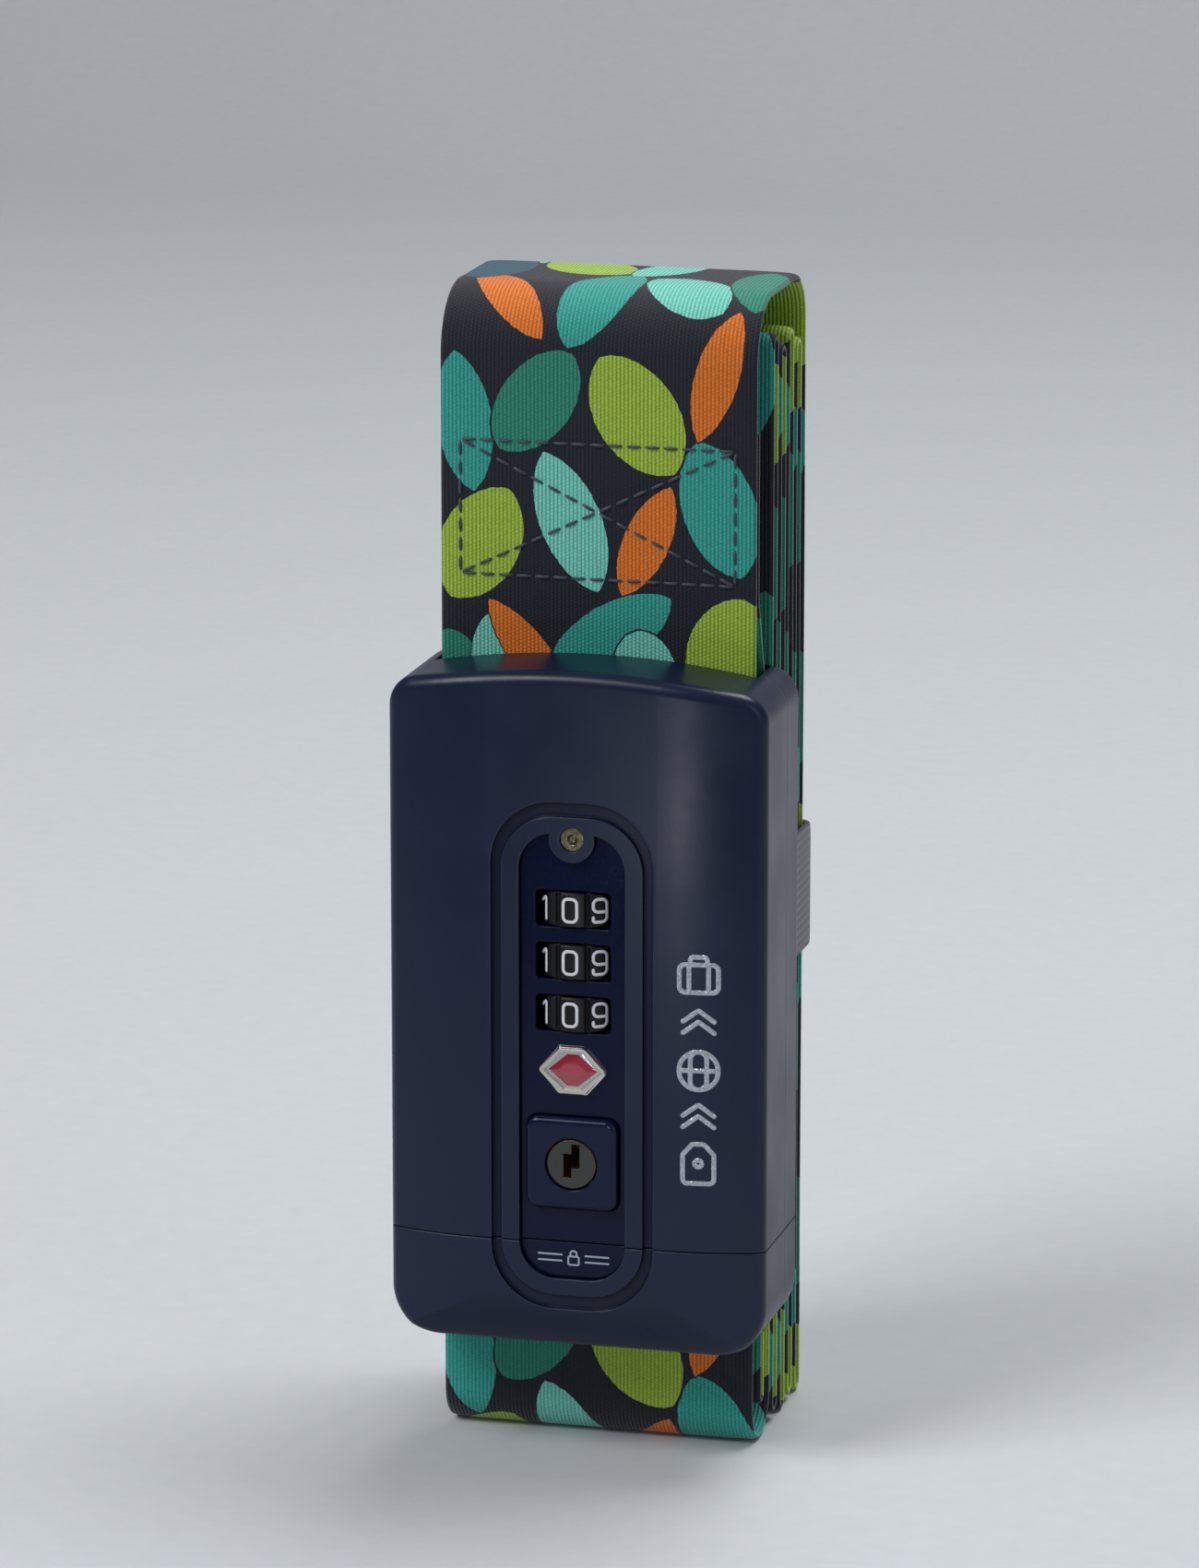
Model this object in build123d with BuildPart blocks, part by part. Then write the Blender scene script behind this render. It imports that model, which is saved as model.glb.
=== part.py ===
from build123d import *
import os
from math import pi

os.makedirs("parts", exist_ok=True)

# Luggage strap with a three-dial combination buckle, put away as a folded hank behind the buckle.
# X is across the strap, +Y runs from the buckle's face towards the hank, +Z is up, in millimetres.
# Buckle features are given by their depth behind the face and their height above its lower end.

# ---------------------------------------------------------------- driving dimensions
# webbing
webbing_width = 50.0
webbing_thickness = 1.6
webbing_length = 1800.0
hank_layers = 9
layer_gap = 1.0
fold_drop = 8.5
buckle_lift = 19.0
arch_front_radius = 10.0
arch_back_radius = 7.0
upper_tail = 43.0
tail_bend_high = 17.0
tail_bend_low = 5.0
tail_bend_radius = 9.0
tail_below_buckle = 12.0
hem_length = 10.0
loop_split_rise = 3.0

# dials
dial_radius = 7.6
dial_height = 5.5
dial_spacing = 2.8
dial_count = 3
dial_sink = 0.2
dial_edge_chamfer = 0.25
first_dial_drop = 12.1
window_beyond_radius = 4.4
window_clearance = 0.2
window_corner = 0.7
window_relief = 0.7
window_skin = 1.2
dial_grip_radius = 0.45
digits_per_dial = 10
detent_thickness = 0.4
detent_finger_height = 3.0
detent_tip_radius = 0.25
detent_tip_gap = 0.1

# dial sleeves and spindle
spindle_radius = 1.6
sleeve_bore = 1.7
sleeve_radius = 3.3
key_radius = 4.0
key_width = 1.0
key_slot_clearance = 0.3
cam_radius = 4.4
cam_flat = 3.7
cam_thickness = 0.75
collar_radius = 2.9
collar_thickness = 0.8
clip_radius = 2.8
clip_thickness = 0.8
shaft_clearance = 0.08
reset_travel = 1.5
lug_radius = 3.6
reset_radius = 1.8
reset_flange_radius = 2.4
reset_stem_radius = 1.3
ramp_gap = 0.15

# buckle housing; its depth is built up from the dials, the tongue and the bars
cheek = 5.0
buckle_length = 108.0
seam_height = 17.6
seam_gap = 0.2
crown_flat = 27.0
crown_drop = 2.8
top_arc_rise = 3.2
top_corner = 5.0
bottom_corner = 8.0
bottom_sweep_height = 9.0
bottom_sweep_depth = 3.5
front_edge_radius = 2.0
back_edge_radius = 1.8
wall = 2.2
back_wall = 2.0
cavity_end = 2.0
end_wall = 5.7
end_skin = 5.2
lower_floor = 2.4
pocket_depth = 11.5
pocket_clearance = 0.7
boss_radius = 3.2

# island on the face: groove, raised ring, recessed panel
groove_width = 25.8
groove_bottom_margin = 6.8
groove_top_margin = 20.3
groove_corner = 10.0
groove_depth = 0.8
groove_side = 1.65
groove_end = 2.3
ring_side = 2.8
ring_end = 2.6
panel_recess = 1.0
island_wall = 2.4
panel_flange = 1.8
panel_thickness = 2.2
lower_panel_thickness = 1.0

# release button and key cylinder
button_width = 14.5
button_height = 14.6
button_corner = 1.8
button_edge_radius = 0.9
button_proud = 0.5
button_rise = 12.8
button_flange_depth = 3.6
button_flange_thickness = 1.6
button_flange_width = 25.0
button_flange_height = 18.0
button_leg_width = 2.0
button_leg_height = 6.0
button_clearance = 0.2
barrel_wall = 1.15
barrel_front = 0.9
barrel_length = 12.6
plug_radius = 4.1
plug_clearance = 0.05
plug_proud = 0.3
keyway_width = 1.3
keyway_lift = 0.5
keyway_overlap = 2.3
plug_gap = 0.1
keyway_end = 12.4
wafer_count = 5
wafer_pitch = 2.0
first_wafer_depth = 3.4
wafer_thickness = 0.5
wafer_slot = 0.7
cam_plate_width = 3.2
cam_plate_thickness = 0.7
spring_wire = 0.6
spindle_spring_wire = 0.4

# chassis
chassis_wall = 1.5
chassis_reach = 3.6
ear_size = 6.0
ear_boss_radius = 2.4

# tongue, catch and bars
tongue_width = 19.0
tongue_thickness = 2.0
tongue_reach = 24.4
tongue_slot_clearance = 0.4
tongue_tip_radius = 4.0
catch_window_width = 10.0
catch_window_height = 7.0
catch_thickness = 0.6
catch_stem_width = 9.0
catch_plate_height = 11.0
catch_relief = 0.6
catch_screw_rise = 4.8
bar_radius = 2.0
bar_seat = 2.4
upper_bar_margin = 8.0
lower_bar_margin = 7.5

# fasteners
screw_radius = 1.0
screw_head_radius = 2.0
screw_head_height = 1.4
small_head_height = 1.2
screw_head_sink = 1.8
screw_hole_clearance = 0.1
recess_length = 2.4
recess_width = 0.6
snug = 0.05

# badge
badge_width = 10.8
badge_height = 7.1
badge_shoulder = 3.4
badge_rim = 0.6
badge_rise = 14.8
badge_thickness = 0.9
badge_corner = 0.6

# elastic keeper around the hank
keeper_width = 20.0
keeper_thickness = 1.0
keeper_gap = 0.3
keeper_height = 84.0
keeper_corner = 0.8

# ---------------------------------------------------------------- places worked out from them
buckle_width = webbing_width + 2 * cheek
half_width = buckle_width / 2
half_webbing = webbing_width / 2
dial_pitch = dial_height + dial_spacing
dial_axis_depth = dial_radius + dial_sink
window_width = dial_radius + window_beyond_radius
wall_front = dial_axis_depth + dial_radius + 0.4
wall_back = wall_front + chassis_wall
shell_split = wall_front + 0.2
tongue_depth = wall_back + 0.7
bar_depth = tongue_depth + tongue_thickness / 2
buckle_depth = tongue_depth + tongue_thickness + 5.0
head_floor = buckle_depth - screw_head_sink
layer_pitch = webbing_thickness + layer_gap
hank_front = buckle_depth + 2 * keeper_gap + keeper_thickness
hank_back = hank_front + (hank_layers - 1) * layer_pitch + webbing_thickness
total_depth = button_proud + hank_back + keeper_gap + keeper_thickness
face_y = button_proud - total_depth / 2

groove_low = groove_bottom_margin
groove_high = buckle_length - groove_top_margin
panel_high = groove_high - groove_end - ring_end
reset_height = panel_high - 0.9
dial_heights = [panel_high - first_dial_drop - dial_pitch * i for i in range(dial_count)]
dial_bay_low = dial_heights[-1] - dial_height / 2 - 6.25
dial_bay_high = dial_heights[0] + dial_height / 2 + 3.95
button_height_centre = seam_height + button_rise
badge_height_centre = button_height_centre + badge_rise
upper_bar_height = buckle_length - upper_bar_margin
lower_bar_height = lower_bar_margin
pocket_high = buckle_length - pocket_depth - 1
pocket_low = pocket_depth
upper_half_low = seam_height
lower_half_high = seam_height - seam_gap
half_pocket = half_webbing + pocket_clearance
ply_offset = bar_radius + webbing_thickness / 2
pocket_front = bar_depth - ply_offset - webbing_thickness / 2 - 1.0
pocket_back = bar_depth + ply_offset + webbing_thickness / 2 + 0.8
tab_end = bar_depth - bar_radius - 0.1
tab_half = bar_radius - 0.1
flange_back = button_flange_depth + button_flange_thickness
leg_end = tongue_depth + tongue_thickness + 0.2
catch_front = tongue_depth + tongue_thickness + 0.5
catch_back = catch_front + catch_thickness
leg_x = (button_flange_width - button_leg_width) / 2
bay_side = dial_radius + 2.2
bay_width = 2 * dial_radius + 0.4
bay_front = dial_axis_depth - chassis_reach
barrel_radius = plug_radius + barrel_wall
barrel_back = barrel_front + barrel_length
tongue_base_width = webbing_width - 6
screw_hole = screw_radius + screw_hole_clearance

button_spot = (0, button_height_centre)
reset_spot = (0, reset_height)
axis_spot = (0, dial_axis_depth)
catch_screw_spot = (0, badge_height_centre + catch_screw_rise)
housing_spots = [
    (side * (half_width - 8), height)
    for side in (-1, 1)
    for height in (seam_height + 7.4, pocket_high - 7.5)
]
lower_spots = [(side * (tongue_base_width / 2 - 4), seam_height - 2.6) for side in (-1, 1)]
ear_spots = [
    (side * (bay_side + 7.2), height)
    for side in (-1, 1)
    for height in (dial_bay_low + 1, dial_bay_high - 4)
]


def at_depth(depth):
    """Plane parallel to the buckle's face: x to the right, y up, normal out of the face."""
    return Plane(origin=(0, face_y + depth, buckle_lift), x_dir=(1, 0, 0), z_dir=(0, -1, 0))


def at_height(height):
    """Plane square to the buckle's length: x to the right, y is depth, normal up."""
    return Plane(origin=(0, face_y, buckle_lift + height), x_dir=(1, 0, 0), z_dir=(0, 0, 1))


def across(x):
    """Plane square to the buckle's width: x is depth, y is height, normal to the right."""
    return Plane(origin=(x, face_y, buckle_lift), x_dir=(0, 1, 0), z_dir=(1, 0, 0))


def island_shape(inset_side, inset_end, mode=Mode.ADD):
    """Rounded rectangle of the island, drawn in from the groove's outer edge."""
    width = groove_width - 2 * inset_side
    height = groove_high - groove_low - 2 * inset_end
    corner = groove_corner - 0.95 * inset_side
    with Locations((0, (groove_high + groove_low) / 2)):
        RectangleRounded(width, height, corner, mode=mode)


# ---------------------------------------------------------------- housing block
# The closed buckle's outer shape: a crowned face, an arched top and a swept lower end.
with BuildPart() as housing:
    with BuildSketch(at_height(0)):
        with BuildLine():
            flat = Line((-crown_flat / 2, 0), (crown_flat / 2, 0))
            crown = TangentArc(flat @ 1, (half_width, crown_drop), tangent=flat % 1)
            crown_left = mirror(crown, about=Plane.YZ)
            Polyline(crown @ 1, (half_width, buckle_depth), (-half_width, buckle_depth), crown_left @ 1)
        make_face()
    extrude(amount=buckle_length)
    with BuildSketch(at_depth(buckle_depth)) as outline:
        with BuildLine():
            shoulder = buckle_length - top_arc_rise
            base = Line((-half_width, 0), (half_width, 0))
            top = ThreePointArc((half_width, shoulder), (0, buckle_length), (-half_width, shoulder))
            Line(base @ 1, top @ 0)
            Line(top @ 1, base @ 0)
        make_face()
        fillet(outline.vertices().group_by(Axis.Y)[0], radius=bottom_corner)
        fillet(outline.vertices().group_by(Axis.Y)[-1], radius=top_corner)
    extrude(amount=buckle_depth, mode=Mode.INTERSECT)
    with BuildSketch(across(-half_width)):
        with BuildLine():
            face_line = Line((0, buckle_length), (0, bottom_sweep_height))
            sweep_arc = TangentArc(face_line @ 1, (bottom_sweep_depth, 0), tangent=face_line % 1)
            Polyline(sweep_arc @ 1, (buckle_depth, 0), (buckle_depth, buckle_length), face_line @ 0)
        make_face()
    extrude(amount=buckle_width, mode=Mode.INTERSECT)
    front_limit = face_y + crown_drop + bottom_sweep_depth
    rim_low = buckle_lift + bottom_sweep_height / 2 - 0.5
    rim_high = buckle_lift + buckle_length - top_arc_rise - 2
    rim = ShapeList(
        edge
        for edge in housing.edges()
        if (edge @ 0.5).Y < front_limit
        and abs((edge % 0.5).Y) < 0.8
        and (
            abs((edge @ 0.5).X) > half_width - 2.6
            or (edge @ 0.5).Z > rim_high
            or (edge @ 0.5).Z < rim_low
        )
    )
    fillet(rim, radius=front_edge_radius)
    fillet(housing.faces().sort_by(Axis.Y)[-1].edges(), radius=back_edge_radius)

# The groove around the island is cut in the whole block, so it runs across the seam.
with BuildPart() as body_block:
    add(housing.part)
    with BuildSketch(at_depth(groove_depth)):
        island_shape(0, 0)
        island_shape(groove_side, groove_end, mode=Mode.SUBTRACT)
    extrude(amount=groove_depth, mode=Mode.SUBTRACT)


def keep_region(height_low, height_high, depth_front, depth_back):
    """Keeps only what lies between two heights and two depths of the buckle."""
    with BuildSketch(at_height(height_low)) as region:
        with Locations((0, (depth_front + depth_back) / 2)):
            Rectangle(buckle_width + 4, depth_back - depth_front)
    extrude(region.sketch, amount=height_high - height_low, mode=Mode.INTERSECT)


def cut_cavity(height_low, height_high, depth_back):
    """Hollows a half behind its crowned front wall, up to the shells' joint."""
    inner = half_width - wall
    with BuildSketch(at_height(height_low)) as cavity:
        with BuildLine():
            Polyline(
                (-inner, depth_back),
                (-inner, crown_drop + wall + 0.4),
                (-crown_flat / 2 - 1, island_wall),
                (crown_flat / 2 + 1, island_wall),
                (inner, crown_drop + wall + 0.4),
                (inner, depth_back),
                close=True,
            )
        make_face()
    extrude(cavity.sketch, amount=height_high - height_low, mode=Mode.SUBTRACT)


def add_box(x_size, height_low, height_high, depth_front, depth_back, x_centre=0, mode=Mode.ADD):
    """Adds or cuts a box given by its width, two heights and two depths."""
    with BuildSketch(at_depth(depth_back)) as side_of_box:
        with Locations((x_centre, (height_low + height_high) / 2)):
            Rectangle(x_size, height_high - height_low)
    extrude(side_of_box.sketch, amount=depth_back - depth_front, mode=mode)


def cut_box(x_size, height_low, height_high, depth_front, depth_back, x_centre=0):
    """Cuts a box given by its width, two heights and two depths."""
    add_box(x_size, height_low, height_high, depth_front, depth_back, x_centre, Mode.SUBTRACT)


def rods(spots, radius, depth_front, depth_back, mode=Mode.ADD):
    """Round rods or holes square to the face, one at each (x, height) spot."""
    with BuildSketch(at_depth(depth_back)) as ends:
        with Locations(*spots):
            Circle(radius)
    extrude(ends.sketch, amount=depth_back - depth_front, mode=mode)


def cut_bar_seat(height):
    """U-slots in both side walls that take a bar from the shells' joint."""
    with BuildSketch(across(-half_pocket - bar_seat)) as seat:
        with Locations((bar_depth, height)):
            Circle(bar_radius + snug)
        with Locations(((shell_split + bar_depth) / 2, height)):
            Rectangle(bar_depth - shell_split, 2 * (bar_radius + snug))
    extrude(seat.sketch, amount=2 * (half_pocket + bar_seat), mode=Mode.SUBTRACT)


def screw(spots, shank_front, head_depth, head_thickness):
    """Pan-head screws driven from the back, with a cross recess."""
    rods(spots, screw_radius, shank_front, head_depth)
    rods(spots, screw_head_radius, head_depth, head_depth + head_thickness)
    with BuildSketch(at_depth(head_depth + head_thickness)) as recess:
        with Locations(*spots):
            Rectangle(recess_length, recess_width)
            Rectangle(recess_width, recess_length)
    extrude(recess.sketch, amount=head_thickness / 2, mode=Mode.SUBTRACT)


# ---------------------------------------------------------------- upper half, female
with BuildPart() as front_cover:
    add(body_block.part)
    keep_region(upper_half_low, buckle_length + 1, -2, shell_split)
    cut_cavity(upper_half_low + cavity_end, pocket_high - cavity_end, shell_split)
    rods(housing_spots, boss_radius, 4, shell_split)
    rods(housing_spots, screw_hole, 8, shell_split, mode=Mode.SUBTRACT)
    rods(ear_spots, ear_boss_radius, 3, wall_front)
    rods(ear_spots, screw_hole, 7, wall_front, mode=Mode.SUBTRACT)
    with BuildSketch(at_depth(island_wall)):
        island_shape(groove_side + ring_side, groove_end + ring_end)
        with Locations(reset_spot):
            Circle(lug_radius, mode=Mode.SUBTRACT)
    extrude(amount=island_wall + 1, mode=Mode.SUBTRACT)
    rods([reset_spot], reset_radius + 0.1, -1, island_wall + 0.5, mode=Mode.SUBTRACT)
    cut_box(2 * half_pocket, pocket_high, buckle_length - end_wall, end_skin, shell_split)
    cut_box(2 * half_pocket, pocket_high, buckle_length + 1, pocket_front, shell_split)
    for side in (-1, 1):
        tab_x = side * (half_pocket + bar_seat / 2)
        tab_ends = (upper_bar_height - tab_half, upper_bar_height + tab_half)
        add_box(bar_seat - 0.3, *tab_ends, shell_split - 1, tab_end, tab_x)
front_cover.part.label = "front_cover"
export_step(front_cover.part, "parts/front_cover.step")

with BuildPart() as back_cover:
    add(body_block.part)
    keep_region(upper_half_low, buckle_length + 1, shell_split, buckle_depth + 1)
    cavity_ends = (upper_half_low + cavity_end, pocket_high - cavity_end)
    cut_box(buckle_width - 2 * wall, *cavity_ends, shell_split - 1, buckle_depth - back_wall)
    relief_ends = (button_height_centre - catch_plate_height / 2 - 1, catch_screw_spot[1] - 8)
    relief_floor = buckle_depth - back_wall + catch_relief
    cut_box(button_flange_width + 3, *relief_ends, shell_split, relief_floor)
    boss_root = buckle_depth - back_wall + 0.1
    rods(housing_spots, boss_radius, shell_split, boss_root)
    rods([catch_screw_spot], boss_radius + 0.2, catch_back, boss_root)
    rods([catch_screw_spot], screw_hole, tongue_depth + 2, buckle_depth - 1, mode=Mode.SUBTRACT)
    rods(housing_spots, screw_hole, shell_split - 1, buckle_depth + 1, mode=Mode.SUBTRACT)
    rods(housing_spots, screw_head_radius + 0.2, head_floor, buckle_depth + 1, mode=Mode.SUBTRACT)
    slot = tongue_slot_clearance
    cut_box(
        tongue_width + 2 * slot,
        upper_half_low - 1,
        upper_half_low + 3,
        tongue_depth - slot,
        tongue_depth + tongue_thickness + slot,
    )
    cut_box(2 * half_pocket, pocket_high, buckle_length + 1, shell_split - 1, pocket_back)
    cut_bar_seat(upper_bar_height)
back_cover.part.label = "back_cover"
export_step(back_cover.part, "parts/back_cover.step")

with BuildPart() as dial_plate:
    visible_side = groove_side + ring_side + snug
    visible_end = groove_end + ring_end + snug
    with BuildSketch(at_depth(island_wall)):
        island_shape(visible_side, visible_end)
    extrude(amount=island_wall - panel_recess)
    with BuildSketch(at_depth(panel_recess + panel_thickness)):
        island_shape(visible_side - panel_flange, visible_end - panel_flange)
    extrude(amount=panel_recess + panel_thickness - island_wall)
    keep_region(upper_half_low, buckle_length, 0, buckle_depth)
    cut_box(groove_width, 0, upper_half_low + 2.1, island_wall, 6)
    rods([reset_spot], lug_radius + snug, -1, 6, mode=Mode.SUBTRACT)
    with BuildSketch(at_depth(6)):
        with Locations(*[(0, height) for height in dial_heights]):
            RectangleRounded(window_width, dial_height + 2 * window_clearance, window_corner)
        with Locations(button_spot):
            RectangleRounded(
                button_width + 2 * button_clearance,
                button_height + 2 * button_clearance,
                button_corner + button_clearance,
            )
    extrude(amount=7, mode=Mode.SUBTRACT)
    with BuildSketch(at_depth(6)):
        with Locations(*[(0, height) for height in dial_heights]):
            Rectangle(window_width + 2 * window_relief, dial_height + 4 * window_clearance)
    extrude(amount=6 - panel_recess - window_skin, mode=Mode.SUBTRACT)
dial_plate.part.label = "dial_plate"
export_step(dial_plate.part, "parts/dial_plate.step")

# Die-cast frame: back wall, dial bay with two side walls, end walls and spacer webs.
web_tops = [height - dial_height / 2 - window_clearance for height in dial_heights]
top_web = dial_heights[0] + dial_height / 2 + window_clearance
web_front = dial_axis_depth + 2.7
with BuildPart() as chassis:
    bay_low = dial_bay_low - chassis_wall
    bay_high = dial_bay_high + chassis_wall
    add_box(2 * bay_side + 10.4, upper_half_low + 2.6, bay_high, wall_front, wall_back)
    for side in (-1, 1):
        add_box(chassis_wall, bay_low, bay_high, bay_front, wall_front, side * (bay_side + chassis_wall / 2))
    for low in (bay_low, dial_bay_high):
        add_box(bay_width, low, low + chassis_wall, bay_front, wall_front)
    for web_top in web_tops:
        add_box(bay_width, web_top - dial_spacing + 2 * window_clearance, web_top, web_front, wall_front)
    add_box(bay_width, top_web, top_web + 1, web_front, wall_front)
    with BuildSketch(at_height(dial_bay_low)):
        with Locations(axis_spot):
            Circle(cam_radius + 0.5)
    extrude(amount=dial_bay_high - dial_bay_low, mode=Mode.SUBTRACT)
    with BuildSketch(at_height(bay_low - 1)):
        with Locations(axis_spot):
            Circle(spindle_radius + shaft_clearance)
    extrude(amount=bay_high - bay_low + 2, mode=Mode.SUBTRACT)
    for ear_x, ear_height in ear_spots:
        add_box(ear_size, ear_height - ear_size / 2, ear_height + ear_size / 2, wall_front, wall_back, ear_x)
    rods(ear_spots, screw_hole, wall_front - 1, wall_back + 1, mode=Mode.SUBTRACT)
    rods([button_spot], barrel_radius + 0.3, wall_front - 1, wall_back + 1, mode=Mode.SUBTRACT)
    leg_half = button_leg_height / 2 + 0.3
    leg_slot = (button_height_centre - leg_half, button_height_centre + leg_half)
    for side in (-1, 1):
        cut_box(button_leg_width + 0.6, *leg_slot, wall_front - 1, wall_back + 1, side * leg_x)
chassis.part.label = "chassis"
export_step(chassis.part, "parts/chassis.step")

# ---------------------------------------------------------------- dials, sleeves and spindle
key_low = -(dial_height / 2 + window_clearance)
sleeve_low = key_low - cam_thickness
sleeve_high = sleeve_low + dial_pitch - 0.2
for number, height in enumerate(dial_heights, start=1):
    with BuildPart() as wheel:
        with BuildSketch(at_height(height - dial_height / 2)):
            with Locations(axis_spot):
                Circle(dial_radius)
        extrude(amount=dial_height)
        chamfer(wheel.edges(), length=dial_edge_chamfer)
        with BuildSketch(at_height(height - dial_height / 2)):
            with Locations(axis_spot):
                Circle(sleeve_radius + shaft_clearance)
                with PolarLocations(dial_radius, digits_per_dial, start_angle=-90 + 180 / digits_per_dial):
                    Circle(dial_grip_radius)
        extrude(amount=dial_height, mode=Mode.SUBTRACT)
        with BuildSketch(at_height(height - dial_height / 2)):
            with Locations(axis_spot):
                with PolarLocations((sleeve_radius + key_radius) / 2, digits_per_dial):
                    Rectangle(key_radius - sleeve_radius + 0.4, key_width + key_slot_clearance)
        extrude(amount=reset_travel, mode=Mode.SUBTRACT)
    wheel.part.label = f"wheel_{number}"
    export_step(wheel.part, f"parts/wheel_{number}.step")

    with BuildPart() as sleeve:
        with BuildSketch(at_height(height + sleeve_low)):
            with Locations(axis_spot):
                Circle(cam_radius)
            with Locations((cam_flat + cam_radius, dial_axis_depth)):
                Rectangle(2 * cam_radius, 2 * cam_radius, mode=Mode.SUBTRACT)
        extrude(amount=cam_thickness)
        with BuildSketch(at_height(height + sleeve_low)):
            with Locations(axis_spot):
                Circle(sleeve_radius)
        extrude(amount=sleeve_high - sleeve_low)
        with BuildSketch(at_height(height + key_low)):
            with Locations((sleeve_radius + (key_radius - sleeve_radius) / 2 - 0.2, dial_axis_depth)):
                Rectangle(key_radius - sleeve_radius + 0.4, key_width)
        extrude(amount=reset_travel - 0.1)
        with BuildSketch(at_height(height + sleeve_low)):
            with Locations(axis_spot):
                Circle(sleeve_bore)
        extrude(amount=sleeve_high - sleeve_low, mode=Mode.SUBTRACT)
    sleeve.part.label = f"sleeve_{number}"
    export_step(sleeve.part, f"parts/sleeve_{number}.step")

# The spindle's slanted top meets the reset button's slanted tip, so a push forces it down.
ramp_height = reset_height - 0.9
collar_low = dial_heights[0] + sleeve_high + 0.2
clip_low = dial_heights[-1] + sleeve_low - 1.0
spindle_low = dial_bay_low - 3.1
with BuildPart() as spindle:
    with BuildSketch(at_height(spindle_low)):
        with Locations(axis_spot):
            Circle(spindle_radius)
    extrude(amount=ramp_height + 3 - spindle_low)
    with BuildSketch(at_height(collar_low)):
        with Locations(axis_spot):
            Circle(collar_radius)
    extrude(amount=collar_thickness)
    with BuildSketch(at_height(clip_low - 0.05)):
        with Locations(axis_spot):
            Circle(spindle_radius + 1)
            Circle(spindle_radius - 0.4, mode=Mode.SUBTRACT)
    extrude(amount=clip_thickness + 0.1, mode=Mode.SUBTRACT)
    with BuildSketch(across(-4)):
        with BuildLine():
            Polyline(
                (dial_axis_depth - 4, ramp_height - 4),
                (dial_axis_depth + 4, ramp_height + 4),
                (dial_axis_depth - 4, ramp_height + 4),
                close=True,
            )
        make_face()
    extrude(amount=8, mode=Mode.SUBTRACT)
spindle.part.label = "spindle"
export_step(spindle.part, "parts/spindle.step")

with BuildPart() as spindle_clip:
    with BuildSketch(at_height(clip_low)):
        with Locations(axis_spot):
            Circle(clip_radius)
            Circle(spindle_radius - 0.35, mode=Mode.SUBTRACT)
        with Locations((0, dial_axis_depth + 2)):
            Rectangle(1.8, 4, mode=Mode.SUBTRACT)
    extrude(amount=clip_thickness)
spindle_clip.part.label = "spindle_clip"
export_step(spindle_clip.part, "parts/spindle_clip.step")


def coil(plane, length, turns, radius, wire):
    """Compression spring: a helix that starts on a plane and climbs along its normal."""
    with BuildLine():
        helix = Helix(length / turns, length, radius, center=plane.origin, direction=plane.z_dir)
    with BuildSketch(Plane(origin=helix @ 0, z_dir=helix % 0)) as section:
        Circle(wire / 2)
    sweep(section.sketch, path=helix, is_frenet=True)


with BuildPart() as spindle_spring:
    wire_base = dial_bay_low + spindle_spring_wire / 2 + snug
    seat = Plane(origin=(0, face_y + dial_axis_depth, buckle_lift + wire_base))
    coil_length = clip_low - dial_bay_low - spindle_spring_wire - 2 * snug
    coil(seat, coil_length, 4, spindle_radius + 0.7, spindle_spring_wire)
spindle_spring.part.label = "spindle_spring"
export_step(spindle_spring.part, "parts/spindle_spring.step")

with BuildPart() as reset_button:
    rods([reset_spot], reset_radius, 0.3, island_wall + 0.2)
    rods([reset_spot], reset_flange_radius, island_wall + 0.2, island_wall + 1)
    rods([reset_spot], reset_stem_radius, island_wall + 1, dial_axis_depth + 4)
    with BuildSketch(across(-4)):
        with BuildLine():
            Polyline(
                (dial_axis_depth - 6, ramp_height - 6 + ramp_gap),
                (dial_axis_depth + 6, ramp_height + 6 + ramp_gap),
                (dial_axis_depth + 6, ramp_height - 6),
                close=True,
            )
        make_face()
    extrude(amount=8, mode=Mode.SUBTRACT)
    with BuildSketch(at_depth(0.3)):
        with Locations(reset_spot):
            Circle(reset_radius / 2)
    extrude(amount=-reset_radius / 3, taper=40, mode=Mode.SUBTRACT)
reset_button.part.label = "reset_button"
export_step(reset_button.part, "parts/reset_button.step")

# Leaf on the chassis wall; its three fingers stop just clear of the dials' rims, over their grips.
with BuildPart() as detent_spring:
    leaf_ends = (dial_heights[-1] - detent_finger_height, dial_heights[0] + detent_finger_height)
    add_box(detent_thickness, *leaf_ends, dial_axis_depth - 2, dial_axis_depth + 5, -(bay_side - 0.25))
    finger_depths = (dial_axis_depth - detent_thickness / 2, dial_axis_depth + detent_thickness / 2)
    tip_x = -(dial_radius + detent_tip_gap + detent_tip_radius)
    finger_length = bay_side - 0.25 + tip_x
    for height in dial_heights:
        finger_low = height - detent_finger_height / 2
        finger_ends = (finger_low, finger_low + detent_finger_height)
        add_box(finger_length, *finger_ends, *finger_depths, tip_x - finger_length / 2)
        with BuildSketch(at_height(finger_low)):
            with Locations((tip_x, dial_axis_depth)):
                Circle(detent_tip_radius)
        extrude(amount=detent_finger_height)
detent_spring.part.label = "detent_spring"
export_step(detent_spring.part, "parts/detent_spring.step")

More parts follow.
